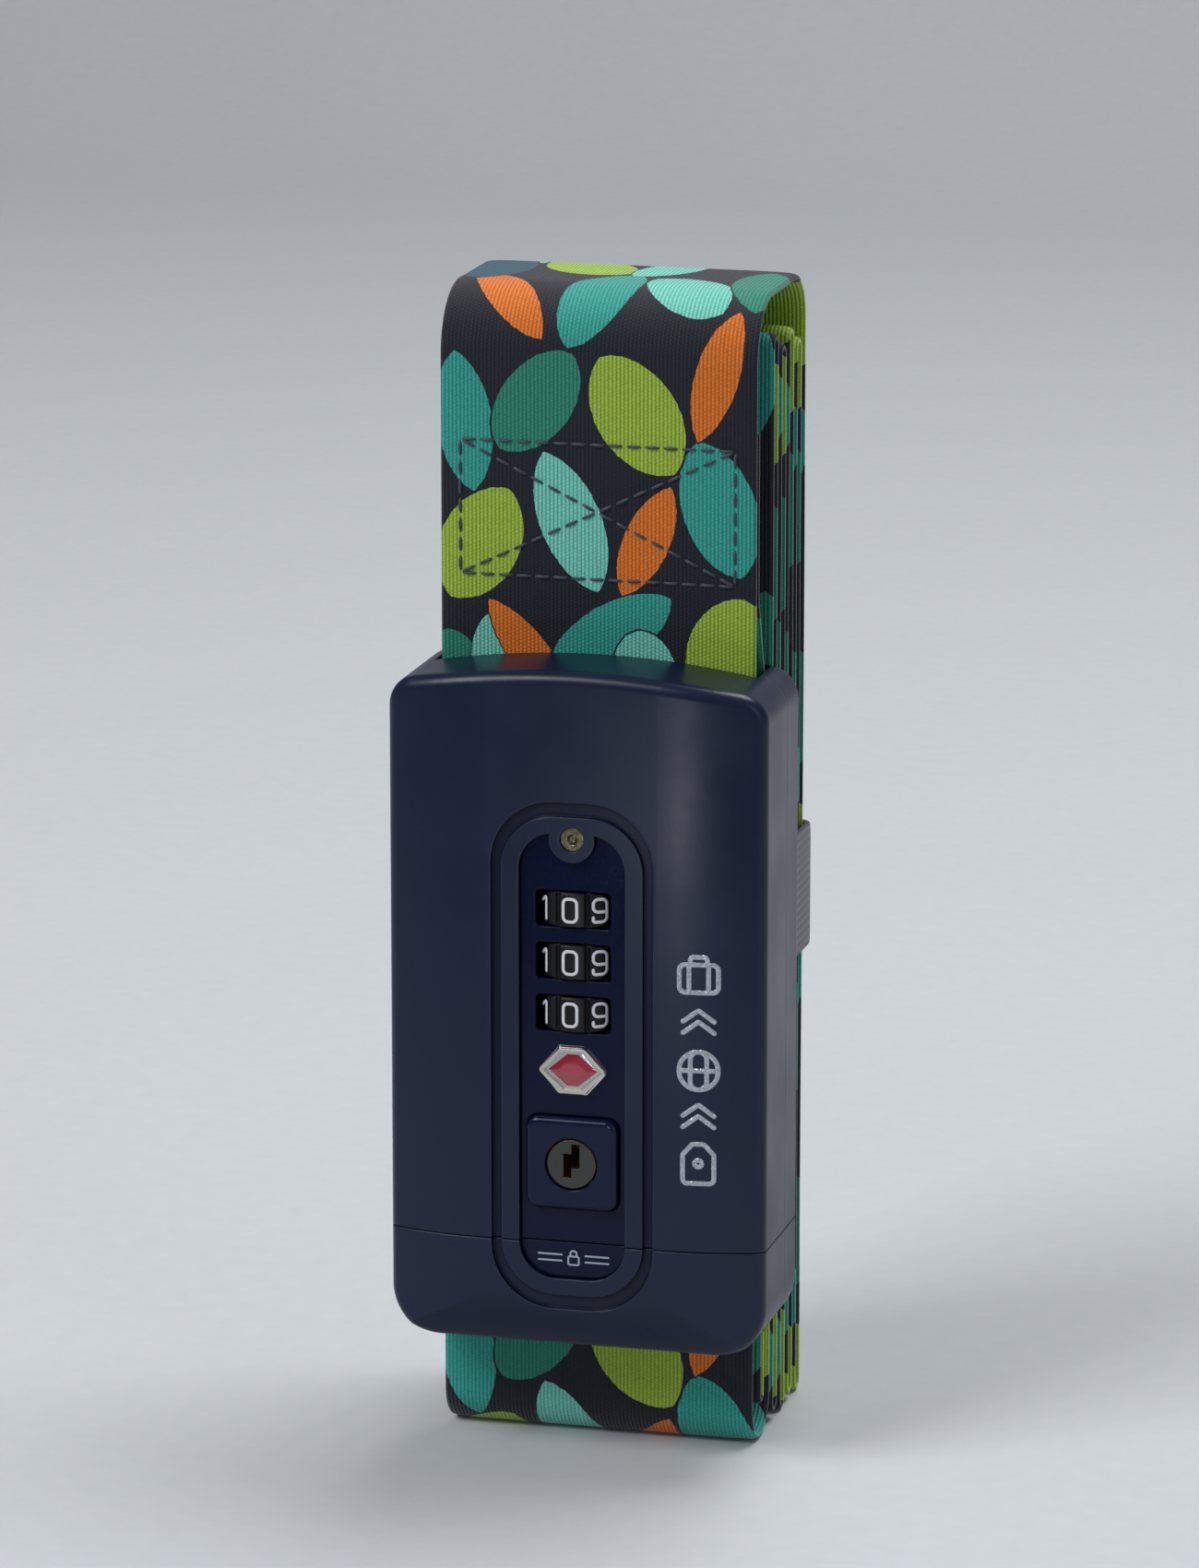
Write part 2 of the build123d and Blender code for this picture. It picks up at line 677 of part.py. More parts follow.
# ---------------------------------------------------------------- release button and key cylinder
with BuildPart() as release_button:
    with BuildSketch(at_depth(flange_back)):
        with Locations(button_spot):
            RectangleRounded(button_width, button_height, button_corner)
    extrude(amount=flange_back + button_proud)
    fillet(release_button.faces().sort_by(Axis.Y)[0].edges(), radius=button_edge_radius)
    with BuildSketch(at_depth(flange_back)):
        with Locations(button_spot):
            Rectangle(button_flange_width, button_flange_height)
    extrude(amount=button_flange_thickness)
    for side in (-1, 1):
        leg_low = button_height_centre - button_leg_height / 2
        add_box(button_leg_width, leg_low, leg_low + button_leg_height, flange_back, leg_end, side * leg_x)
    rods([button_spot], plug_radius + plug_gap, -2, flange_back, mode=Mode.SUBTRACT)
    rods([button_spot], barrel_radius + snug, barrel_front, flange_back + 1, mode=Mode.SUBTRACT)
release_button.part.label = "release_button"
export_step(release_button.part, "parts/release_button.step")

with BuildPart() as key_barrel:
    rods([button_spot], barrel_radius, barrel_front, barrel_back)
    rods([button_spot], plug_radius + plug_clearance, barrel_front - 1, barrel_back + 1, mode=Mode.SUBTRACT)
key_barrel.part.label = "key_barrel"
export_step(key_barrel.part, "parts/key_barrel.step")

wafer_depths = [first_wafer_depth + wafer_pitch * i for i in range(wafer_count)]
wafer_width = plug_radius + 0.5
wafer_height = 2 * plug_radius - 1.8
clip_slot = barrel_back + 0.2
plug_back = clip_slot + 1.2
keyway_reach = plug_radius - 1.4
keyway_centre = button_height_centre + keyway_lift
with BuildPart() as key_plug:
    rods([button_spot], plug_radius, -plug_proud, plug_back)
    chamfer(key_plug.faces().sort_by(Axis.Y)[0].edges(), length=0.3)
    with BuildSketch(at_depth(clip_slot + 0.6)):
        with Locations(button_spot):
            Circle(plug_radius + 1)
            Circle(plug_radius - 0.7, mode=Mode.SUBTRACT)
    extrude(amount=0.6, mode=Mode.SUBTRACT)
    left_ends = (keyway_centre - keyway_reach, keyway_centre + keyway_overlap / 2)
    right_ends = (keyway_centre - keyway_overlap / 2, keyway_centre + keyway_reach)
    cut_box(keyway_width, *left_ends, -1, keyway_end, -keyway_width / 2)
    cut_box(keyway_width, *right_ends, -1, keyway_end, keyway_width / 2)
    slot_ends = (button_height_centre - wafer_height / 2 - 0.1, button_height_centre + wafer_height / 2 + 0.1)
    for depth in wafer_depths:
        cut_box(wafer_width + 0.2, *slot_ends, depth - wafer_slot / 2, depth + wafer_slot / 2)
key_plug.part.label = "key_plug"
export_step(key_plug.part, "parts/key_plug.step")

with BuildPart() as wafers:
    for depth in wafer_depths:
        with BuildSketch(at_depth(depth + wafer_thickness / 2)):
            with Locations(button_spot):
                Rectangle(wafer_width, wafer_height)
                Rectangle(wafer_width - 2.0, wafer_height - 1.2, mode=Mode.SUBTRACT)
        extrude(amount=wafer_thickness)
wafers.part.label = "wafers"
export_step(wafers.part, "parts/wafers.step")

with BuildPart() as plug_clip:
    with BuildSketch(at_depth(clip_slot + 0.55)):
        with Locations(button_spot):
            Circle(plug_radius + 0.9)
            Circle(plug_radius - 0.65, mode=Mode.SUBTRACT)
        with Locations((0, button_height_centre - plug_radius)):
            Rectangle(4, 4, mode=Mode.SUBTRACT)
    extrude(amount=0.5)
plug_clip.part.label = "plug_clip"
export_step(plug_clip.part, "parts/plug_clip.step")

with BuildPart() as key_cam:
    with BuildSketch(at_depth(plug_back + cam_plate_thickness)):
        with Locations(button_spot):
            SlotOverall(2 * plug_radius + 1.6, cam_plate_width)
    extrude(amount=cam_plate_thickness)
key_cam.part.label = "key_cam"
export_step(key_cam.part, "parts/key_cam.step")

with BuildPart() as button_spring:
    spring_front = flange_back + spring_wire / 2 + snug
    spring_back = wall_front - spring_wire / 2 - snug
    start = Plane(origin=(0, face_y + spring_front, buckle_lift + button_height_centre), z_dir=(0, 1, 0))
    coil(start, spring_back - spring_front, 6, barrel_radius + 0.85, spring_wire)
button_spring.part.label = "button_spring"
export_step(button_spring.part, "parts/button_spring.step")

# Comb beside the dials; its teeth end just outside the sleeve cams.
flange_top = button_height_centre + button_flange_height / 2
comb_x = dial_radius + 1.0
comb_thickness = 0.8
foot_width = 3.4
with BuildPart() as locking_comb:
    comb_back = dial_axis_depth + 1.8
    add_box(comb_thickness, flange_top, dial_heights[0] + 2, button_flange_depth, comb_back, comb_x)
    foot_x = comb_x + (foot_width - comb_thickness) / 2
    add_box(foot_width, flange_top, flange_top + 1.5, button_flange_depth, flange_back, foot_x)
    tooth_in = cam_radius + 0.2
    for height in dial_heights:
        tooth_low = height + sleeve_low
        add_box(
            comb_x - tooth_in,
            tooth_low,
            tooth_low + cam_thickness,
            button_flange_depth,
            button_flange_depth + 1.7,
            (comb_x + tooth_in) / 2,
        )
locking_comb.part.label = "locking_comb"
export_step(locking_comb.part, "parts/locking_comb.step")

# ---------------------------------------------------------------- tongue and catch
tongue_base_low = pocket_low + 1.5
tongue_top = lower_half_high + tongue_reach
catch_window_at = button_height_centre + 0.7
with BuildPart() as tongue:
    with BuildSketch(at_depth(tongue_depth + tongue_thickness)) as tongue_shape:
        with Locations((0, (tongue_base_low + lower_half_high - 0.4) / 2)):
            Rectangle(tongue_base_width, lower_half_high - 0.4 - tongue_base_low)
        with Locations((0, (tongue_base_low + tongue_top) / 2)):
            Rectangle(tongue_width, tongue_top - tongue_base_low)
        fillet(tongue_shape.vertices().group_by(Axis.Y)[-1], radius=tongue_tip_radius)
        with Locations((0, catch_window_at)):
            RectangleRounded(catch_window_width, catch_window_height, 0.8, mode=Mode.SUBTRACT)
        with Locations(*lower_spots):
            Circle(screw_hole, mode=Mode.SUBTRACT)
    extrude(amount=tongue_thickness)
    tip = tongue.faces().sort_by(Axis.Z)[-1]
    chamfer(tip.edges().filter_by(Axis.X), length=0.6)
tongue.part.label = "tongue"
export_step(tongue.part, "parts/tongue.step")

stem_top = catch_screw_spot[1] + 3
hook_front = tongue_depth + 0.3
hook_top = catch_window_at + catch_window_height / 2 - 0.3
with BuildPart() as spring_catch:
    with BuildSketch(at_depth(catch_back)):
        with Locations((0, button_height_centre)):
            Rectangle(button_flange_width + 1, catch_plate_height)
        with Locations((0, (button_height_centre + stem_top) / 2)):
            Rectangle(catch_stem_width, stem_top - button_height_centre)
        with Locations(catch_screw_spot):
            Circle(screw_hole, mode=Mode.SUBTRACT)
    extrude(amount=catch_thickness)
    with BuildSketch(across(-catch_window_width / 2 + 0.4)):
        with BuildLine():
            Polyline(
                (catch_front, hook_top - 5.6),
                (hook_front, hook_top - 1.8),
                (hook_front, hook_top),
                (catch_front, hook_top),
                close=True,
            )
        make_face()
    extrude(amount=catch_window_width - 0.8)
spring_catch.part.label = "spring_catch"
export_step(spring_catch.part, "parts/spring_catch.step")

# ---------------------------------------------------------------- lower half, male
with BuildPart() as lower_front_cover:
    add(body_block.part)
    keep_region(-1, lower_half_high, -2, shell_split)
    cut_box(2 * half_pocket, lower_floor, pocket_low, end_skin + 0.2, shell_split)
    cut_box(2 * half_pocket, -1, pocket_low, pocket_front, shell_split)
    with BuildSketch(at_depth(panel_recess + lower_panel_thickness)):
        island_shape(groove_side + ring_side, groove_end + ring_end)
    extrude(amount=panel_recess + lower_panel_thickness + 1, mode=Mode.SUBTRACT)
    rods(lower_spots, screw_hole, 8, shell_split, mode=Mode.SUBTRACT)
    for side in (-1, 1):
        tab_x = side * (half_pocket + bar_seat / 2)
        tab_ends = (lower_bar_height - tab_half, lower_bar_height + tab_half)
        add_box(bar_seat - 0.3, *tab_ends, shell_split - 1, tab_end, tab_x)
lower_front_cover.part.label = "lower_front_cover"
export_step(lower_front_cover.part, "parts/lower_front_cover.step")

with BuildPart() as lower_back_cover:
    add(body_block.part)
    keep_region(-1, lower_half_high, shell_split, buckle_depth + 1)
    cut_box(2 * half_pocket, -1, pocket_low, shell_split - 1, pocket_back)
    base_depths = (tongue_depth - 0.1, tongue_depth + tongue_thickness + 0.1)
    cut_box(tongue_base_width + 0.4, tongue_base_low - 0.1, seam_height + 1, *base_depths)
    cut_bar_seat(lower_bar_height)
    rods(lower_spots, screw_hole, shell_split - 1, buckle_depth + 1, mode=Mode.SUBTRACT)
    rods(lower_spots, screw_head_radius + 0.2, head_floor, buckle_depth + 1, mode=Mode.SUBTRACT)
lower_back_cover.part.label = "lower_back_cover"
export_step(lower_back_cover.part, "parts/lower_back_cover.step")

with BuildPart() as lower_panel:
    with BuildSketch(at_depth(panel_recess + lower_panel_thickness)):
        island_shape(visible_side, visible_end)
    extrude(amount=lower_panel_thickness)
    keep_region(0, lower_half_high, 0, buckle_depth)
lower_panel.part.label = "lower_panel"
export_step(lower_panel.part, "parts/lower_panel.step")

# ---------------------------------------------------------------- bars, screws and badge
for name, height in (("webbing_bar", upper_bar_height), ("adjuster_bar", lower_bar_height)):
    with BuildPart() as bar:
        bar_half = half_pocket + bar_seat - 0.1
        with BuildSketch(across(-bar_half)):
            with Locations((bar_depth, height)):
                Circle(bar_radius)
        extrude(amount=2 * bar_half)
    bar.part.label = name
    export_step(bar.part, f"parts/{name}.step")

with BuildPart() as housing_screws:
    screw(housing_spots, 9, head_floor, screw_head_height)
housing_screws.part.label = "housing_screws"
export_step(housing_screws.part, "parts/housing_screws.step")

with BuildPart() as lower_screws:
    screw(lower_spots, 9, head_floor, screw_head_height)
lower_screws.part.label = "lower_screws"
export_step(lower_screws.part, "parts/lower_screws.step")

with BuildPart() as chassis_screws:
    screw(ear_spots, 8, wall_back, small_head_height)
chassis_screws.part.label = "chassis_screws"
export_step(chassis_screws.part, "parts/chassis_screws.step")

with BuildPart() as catch_screw:
    rods([catch_screw_spot], screw_radius, catch_front, buckle_depth - 1.2)
    rods([catch_screw_spot], screw_head_radius, catch_front - 1.1, catch_front)
catch_screw.part.label = "catch_screw"
export_step(catch_screw.part, "parts/catch_screw.step")


def badge_outline(inset):
    """Long hexagon with its points at the left and right, drawn in from the rim's outer edge."""
    half_w = badge_width / 2 - inset * 1.2
    half_h = badge_height / 2 - inset
    with BuildLine() as hexagon:
        Polyline(
            (-half_w, badge_height_centre),
            (-half_w + badge_shoulder, badge_height_centre + half_h),
            (half_w - badge_shoulder, badge_height_centre + half_h),
            (half_w, badge_height_centre),
            (half_w - badge_shoulder, badge_height_centre - half_h),
            (-half_w + badge_shoulder, badge_height_centre - half_h),
            close=True,
        )
    make_face(hexagon.line)


with BuildPart() as badge_frame:
    with BuildSketch(at_depth(panel_recess)) as frame_shape:
        badge_outline(0)
        fillet(frame_shape.vertices(), radius=badge_corner)
    extrude(amount=badge_thickness)
    with BuildSketch(at_depth(panel_recess - 0.3)):
        badge_outline(badge_rim)
    extrude(amount=2, mode=Mode.SUBTRACT)
badge_frame.part.label = "badge_frame"
export_step(badge_frame.part, "parts/badge_frame.step")

with BuildPart() as badge_gem:
    with BuildSketch(at_depth(panel_recess - 0.3)):
        badge_outline(badge_rim + snug)
    extrude(amount=0.7)
    chamfer(badge_gem.faces().sort_by(Axis.Y)[0].edges(), length=0.3)
badge_gem.part.label = "badge_gem"
export_step(badge_gem.part, "parts/badge_gem.step")

# ---------------------------------------------------------------- webbing
# One strap: sewn round the upper bar, up and over the hank to its outermost layer, folded to
# and fro towards the buckle, then under it and round the lower bar.
layer_depths = [hank_front + webbing_thickness / 2 + i * layer_pitch for i in range(hank_layers)]
fold_radius = layer_pitch / 2
fold_low = fold_radius + webbing_thickness / 2
front_ply = bar_depth - ply_offset
rear_ply = bar_depth + ply_offset
upper_bar_z = buckle_lift + upper_bar_height
lower_bar_z = buckle_lift + lower_bar_height
loop_radius = (layer_depths[0] - front_ply) / 2
loop_centre = loop_radius + webbing_thickness / 2
tail_end = buckle_lift - tail_below_buckle
hem_radius = webbing_thickness / 2 + 0.1

arch_length = (
    pi / 2 * (arch_front_radius + arch_back_radius)
    + layer_depths[-1]
    - front_ply
    - arch_front_radius
    - arch_back_radius
)
fixed_length = (
    upper_tail
    + 2 * pi * ply_offset
    + arch_length
    + (hank_layers - 1) * pi * fold_radius
    + pi * loop_radius
    + pi * hem_radius
    + hem_length
    + 2 * lower_bar_z
    - loop_centre
    - tail_end
)
# The straight runs, each the arch's height less these, take up the rest of the length.
less_than_arch = (
    upper_bar_z
    + arch_front_radius
    + arch_back_radius
    + fold_low
    + (hank_layers - 2) * (fold_low + fold_drop)
    + fold_drop
    + loop_centre
)
arch_height = (webbing_length - fixed_length + less_than_arch) / (hank_layers + 1)
fold_high = arch_height - fold_drop


def side_view(depth, height_above_floor):
    """Point of the side view, in the plane square to the strap's width."""
    return (face_y + depth, height_above_floor)


with BuildPart() as webbing_upper:
    with BuildSketch(Plane.YZ):
        with BuildLine():
            inner_ply = front_ply + webbing_thickness + 0.1
            tail = FilletPolyline(
                side_view(inner_ply, upper_bar_z + upper_tail),
                side_view(inner_ply, upper_bar_z + tail_bend_high),
                side_view(rear_ply, upper_bar_z + tail_bend_low),
                side_view(rear_ply, upper_bar_z),
                radius=tail_bend_radius,
            )
            wrap = ThreePointArc(
                tail @ 1,
                side_view(bar_depth, upper_bar_z - ply_offset),
                side_view(front_ply, upper_bar_z),
            )
            rise = Line(wrap @ 1, side_view(front_ply, arch_height - arch_front_radius))
            bend = RadiusArc(
                rise @ 1, side_view(front_ply + arch_front_radius, arch_height), radius=arch_front_radius
            )
            over = Line(bend @ 1, side_view(layer_depths[-1] - arch_back_radius, arch_height))
            RadiusArc(
                over @ 1, side_view(layer_depths[-1], arch_height - arch_back_radius), radius=arch_back_radius
            )
        trace(line_width=webbing_thickness)
    extrude(amount=half_webbing, both=True)
webbing_upper.part.label = "webbing_upper"
export_step(webbing_upper.part, "parts/webbing_upper.step")

loop_split = buckle_lift + loop_split_rise
with BuildPart() as webbing_hank:
    with BuildSketch(Plane.YZ):
        for index, depth in enumerate(layer_depths):
            low = loop_split if index == 0 else fold_low
            high = arch_height - arch_back_radius if index == hank_layers - 1 else fold_high
            with Locations(side_view(depth, (low + high) / 2)):
                Rectangle(webbing_thickness, high - low)
        for index in range(hank_layers - 1):
            at_top = index % 2 == 0
            centre = fold_high if at_top else fold_low
            tip = centre + fold_radius if at_top else centre - fold_radius
            with BuildLine():
                ThreePointArc(
                    side_view(layer_depths[index], centre),
                    side_view(layer_depths[index] + fold_radius, tip),
                    side_view(layer_depths[index + 1], centre),
                )
            trace(line_width=webbing_thickness)
    extrude(amount=half_webbing, both=True)
webbing_hank.part.label = "webbing_hank"
export_step(webbing_hank.part, "parts/webbing_hank.step")

with BuildPart() as webbing_lower:
    with BuildSketch(Plane.YZ):
        with BuildLine():
            down = Line(side_view(layer_depths[0], loop_split), side_view(layer_depths[0], loop_centre))
            under = ThreePointArc(
                down @ 1,
                side_view(front_ply + loop_radius, loop_centre - loop_radius),
                side_view(front_ply, loop_centre),
            )
            up = Line(under @ 1, side_view(front_ply, lower_bar_z))
            wrap = ThreePointArc(
                up @ 1, side_view(bar_depth, lower_bar_z + ply_offset), side_view(rear_ply, lower_bar_z)
            )
            tail = Line(wrap @ 1, side_view(rear_ply, tail_end))
            fold = ThreePointArc(
                tail @ 1,
                side_view(rear_ply + hem_radius, tail_end - hem_radius),
                side_view(rear_ply + 2 * hem_radius, tail_end),
            )
            Line(fold @ 1, side_view(rear_ply + 2 * hem_radius, tail_end + hem_length))
        trace(line_width=webbing_thickness)
    extrude(amount=half_webbing, both=True)
webbing_lower.part.label = "webbing_lower"
export_step(webbing_lower.part, "parts/webbing_lower.step")

with BuildPart() as keeper_band:
    with BuildSketch(Plane(origin=(0, face_y, keeper_height - keeper_width / 2))):
        with Locations((0, (hank_front + hank_back) / 2)):
            inside_x = webbing_width + 2 * keeper_gap
            inside_y = hank_back - hank_front + 2 * keeper_gap
            outer_corner = keeper_corner + keeper_thickness
            RectangleRounded(inside_x + 2 * keeper_thickness, inside_y + 2 * keeper_thickness, outer_corner)
            RectangleRounded(inside_x, inside_y, keeper_corner, mode=Mode.SUBTRACT)
    extrude(amount=keeper_width)
keeper_band.part.label = "keeper_band"
export_step(keeper_band.part, "parts/keeper_band.step")

print(f"webbing {webbing_length:.0f} mm, hank {arch_height + webbing_thickness / 2:.1f} mm tall")
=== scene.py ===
import math

import bpy
import numpy as np
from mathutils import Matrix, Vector


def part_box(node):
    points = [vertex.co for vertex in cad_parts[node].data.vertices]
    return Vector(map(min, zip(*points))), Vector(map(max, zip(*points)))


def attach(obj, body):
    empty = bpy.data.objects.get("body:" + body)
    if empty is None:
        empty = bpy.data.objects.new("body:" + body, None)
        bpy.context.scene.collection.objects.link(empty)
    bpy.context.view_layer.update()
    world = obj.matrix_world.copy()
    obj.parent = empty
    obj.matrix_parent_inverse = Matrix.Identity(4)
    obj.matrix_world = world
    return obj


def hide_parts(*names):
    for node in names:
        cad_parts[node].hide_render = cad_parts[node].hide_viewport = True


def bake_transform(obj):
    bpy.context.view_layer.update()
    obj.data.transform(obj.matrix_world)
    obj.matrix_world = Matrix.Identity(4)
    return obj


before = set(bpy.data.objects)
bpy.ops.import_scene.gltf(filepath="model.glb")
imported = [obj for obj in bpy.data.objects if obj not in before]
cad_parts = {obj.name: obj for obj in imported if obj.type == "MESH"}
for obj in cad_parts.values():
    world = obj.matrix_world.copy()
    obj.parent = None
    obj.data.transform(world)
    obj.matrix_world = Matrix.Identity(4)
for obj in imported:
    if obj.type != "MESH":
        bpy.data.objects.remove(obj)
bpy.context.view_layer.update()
print("frame loaded,", len(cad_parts), "CAD nodes")

mm = 0.001
scene = bpy.context.scene
scene.view_settings.view_transform = "Standard"

# places read from the frame
coverLow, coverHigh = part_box("front_cover")
faceY = coverLow.y  # the ring's face, the buckle's foremost plane but for the button
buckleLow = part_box("lower_front_cover")[0].z
halfBuckle = coverHigh.x
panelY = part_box("dial_plate")[0].y
wheelBoxes = [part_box(f"wheel_{number}") for number in (1, 2, 3)]
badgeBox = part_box("badge_frame")
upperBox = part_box("webbing_upper")
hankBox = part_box("webbing_hank")
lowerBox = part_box("webbing_lower")
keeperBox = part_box("keeper_band")
topBar = (Vector(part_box("webbing_bar")[0]) + Vector(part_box("webbing_bar")[1])) / 2
lowBar = (Vector(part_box("adjuster_bar")[0]) + Vector(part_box("adjuster_bar")[1])) / 2


# sRGB hex to linear: a channel c is c/12.92 up to 0.04045, and ((c + 0.055)/1.055)^2.4 past it
def linear(code):
    c = np.array([int(code[i:i + 2], 16) for i in (1, 3, 5)]) / 255
    return (*np.where(c <= 0.04045, c / 12.92, ((c + 0.055) / 1.055) ** 2.4), 1.0)


# one shader node; inputs maps a socket to a value, or to (node, output) to link it
def add(tree, kind, inputs=None, **settings):
    node = tree.nodes.new("ShaderNode" + kind)
    for name, value in settings.items():
        setattr(node, name, value)
    for key, value in (inputs or {}).items():
        if isinstance(value, tuple) and isinstance(value[0], bpy.types.Node):
            tree.links.new(value[0].outputs[value[1]], node.inputs[key])
        else:
            node.inputs[key].default_value = value
    return node


def newMaterial(name):
    material = bpy.data.materials.new(name)
    material.use_nodes = True
    material.node_tree.nodes.clear()
    return material, material.node_tree


# Principled shader with these inputs, to the output
def finishMaterial(tree, inputs):
    shader = add(tree, "BsdfPrincipled", inputs)
    add(tree, "OutputMaterial", {"Surface": (shader, 0)})


def quads(rows, columns, closeRows=False, closeColumns=False):
    # faces between neighbours on a grid of points, wrapped round where it closes
    i = np.arange(rows if closeRows else rows - 1)[:, None]
    j = np.arange(columns if closeColumns else columns - 1)[None, :]
    iNext, jNext = (i + 1) % rows, (j + 1) % columns
    corners = [i * columns + j, iNext * columns + j, iNext * columns + jNext, i * columns + jNext]
    return np.stack(np.broadcast_arrays(*corners), -1).reshape(-1, 4)


def newPiece(name, points, faces, material, smoothUnder=35):
    mesh = bpy.data.meshes.new(name)
    mesh.from_pydata(np.asarray(points, float).reshape(-1, 3).tolist(), [], faces)
    mesh.shade_smooth()
    mesh.set_sharp_from_angle(angle=math.radians(smoothUnder))
    mesh.materials.append(material)
    piece = bpy.data.objects.new(name, mesh)
    scene.collection.objects.link(piece)
    return piece


# A flat route with rounded corners. Each corner (a, b, radius) is cut back by radius * tan(turn / 2) on both of its
# runs, and an arc about the point at that radius from both joins the cuts. Returns points and unit directions.
def roundedRoute(corners, runStep, arcStep, closed=False):
    spots = np.array([c[:2] for c in corners], float)
    radii = [c[2] if len(c) > 2 else 0 for c in corners]
    count = len(spots)
    pieces, ways = [], []
    last = None if closed else spots[0]
    order = range(count) if closed else range(1, count - 1)
    for i in order:
        way = spots[i] - spots[i - 1]
        way = way / np.linalg.norm(way)
        after = spots[(i + 1) % count] - spots[i]
        after = after / np.linalg.norm(after)
        turn = math.atan2(way[0] * after[1] - way[1] * after[0], way @ after)
        cut = radii[i] * math.tan(abs(turn) / 2)
        start = spots[i] - way * cut
        if last is None:
            last = start  # a closed route starts at its first corner's cut
        run = np.linalg.norm(start - last)
        if run > 1e-7:
            share = np.linspace(0, 1, max(2, math.ceil(run / runStep) + 1))[:-1, None]
            pieces.append(last + share * (start - last))
            ways.append(np.repeat(way[None], len(share), 0))
        angle = np.linspace(0, turn, max(3, math.ceil(radii[i] * abs(turn) / arcStep) + 1))[:-1]
        side = np.sign(turn) * np.array([-way[1], way[0]])
        centre = start + side * radii[i]
        swing = np.abs(angle)[:, None]
        pieces.append(centre - side * radii[i] * np.cos(swing) + way * radii[i] * np.sin(swing))
        ways.append(way * np.cos(swing) + side * np.sin(swing))
        last = spots[i] + after * cut
    end = pieces[0][0] if closed else spots[-1]
    way = end - last
    length = np.linalg.norm(way)
    if length > 1e-7:
        share = np.linspace(0, 1, max(2, math.ceil(length / runStep) + 1))[:, None]
        share = share[:-1] if closed else share
        pieces.append(last + share * way)
        ways.append(np.repeat(way[None] / length, len(share), 0))
    return np.concatenate(pieces), np.concatenate(ways)


def lengthAlong(route):
    return np.concatenate([[0], np.cumsum(np.linalg.norm(np.diff(route, axis=0), axis=1))])


# A closed cross-section (across, lift) carried along a flat route: a point is the route's point plus lift times the
# route's left normal, with across square to the plane. The ends are closed unless the route is.
def carried(route, ways, section, closed=False):
    normal = np.stack([-ways[:, 1], ways[:, 0]], 1)
    across = np.broadcast_to(section[:, 0], (len(route), len(section)))
    a = route[:, :1] + normal[:, :1] * section[:, 1]
    b = route[:, 1:] + normal[:, 1:] * section[:, 1]
    points = np.stack([across, a, b], -1)
    faces = quads(len(route), len(section), closeRows=closed, closeColumns=True).tolist()
    if not closed:
        ring = np.arange(len(section))
        faces += [ring.tolist(), (ring[::-1] + (len(route) - 1) * len(section)).tolist()]
    return points, faces


# Flat band's section: |cos|^p across and |sin|^q in thickness, so it is flat with soft thin edges
def bandSection(width, thickness, count, edge=0.15, crown=0.5):
    angle = 2 * np.pi * (np.arange(count) + 0.5) / count
    c, s = np.cos(angle), np.sin(angle)
    return np.stack([
        width / 2 * np.sign(c) * np.abs(c) ** edge,
        thickness / 2 * np.sign(s) * np.abs(s) ** crown,
    ], 1)


# Raised ink or thread: an ellipse carried along each drawn line, its size falling as sqrt(1 - u^2) over half a width
# at open ends. place(a, b, h) takes drawing coordinates and lift to the surface.
def strokes(name, lines, width, lift, place, material):
    allPoints, allFaces, base = [], [], 0
    angle = 2 * np.pi * np.arange(8) / 8
    for corners, closed in lines:
        route, ways = roundedRoute(corners, width, width / 3, closed)
        size = np.ones(len(route))
        if not closed:
            u = np.array([0.98, 0.85, 0.5])
            head = route[0] - ways[0] * width / 2 * u[:, None]
            tail = route[-1] + ways[-1] * width / 2 * u[::-1, None]
            route = np.concatenate([head, route, tail])
            ways = np.concatenate([np.repeat(ways[:1], 3, 0), ways, np.repeat(ways[-1:], 3, 0)])
            size = np.concatenate([np.sqrt(1 - u ** 2), size, np.sqrt(1 - u[::-1] ** 2)])
        side = np.stack([-ways[:, 1], ways[:, 0]], 1)
        offset = size[:, None] * width / 2 * np.cos(angle)
        a = route[:, :1] + side[:, :1] * offset
        b = route[:, 1:] + side[:, 1:] * offset
        h = size[:, None] * lift * np.sin(angle)
        rows = len(route)
        allPoints.append(np.stack(place(a, b, h), -1).reshape(-1, 3))
        faces = quads(rows, 8, closeRows=closed, closeColumns=True)[:, ::-1]
        allFaces += (faces + base).tolist()
        if not closed:
            ring = np.arange(8)
            allFaces += [(ring[::-1] + base).tolist(), (ring + base + (rows - 1) * 8).tolist()]
        base += rows * 8
    return newPiece(name, np.concatenate(allPoints), allFaces, material, 60)


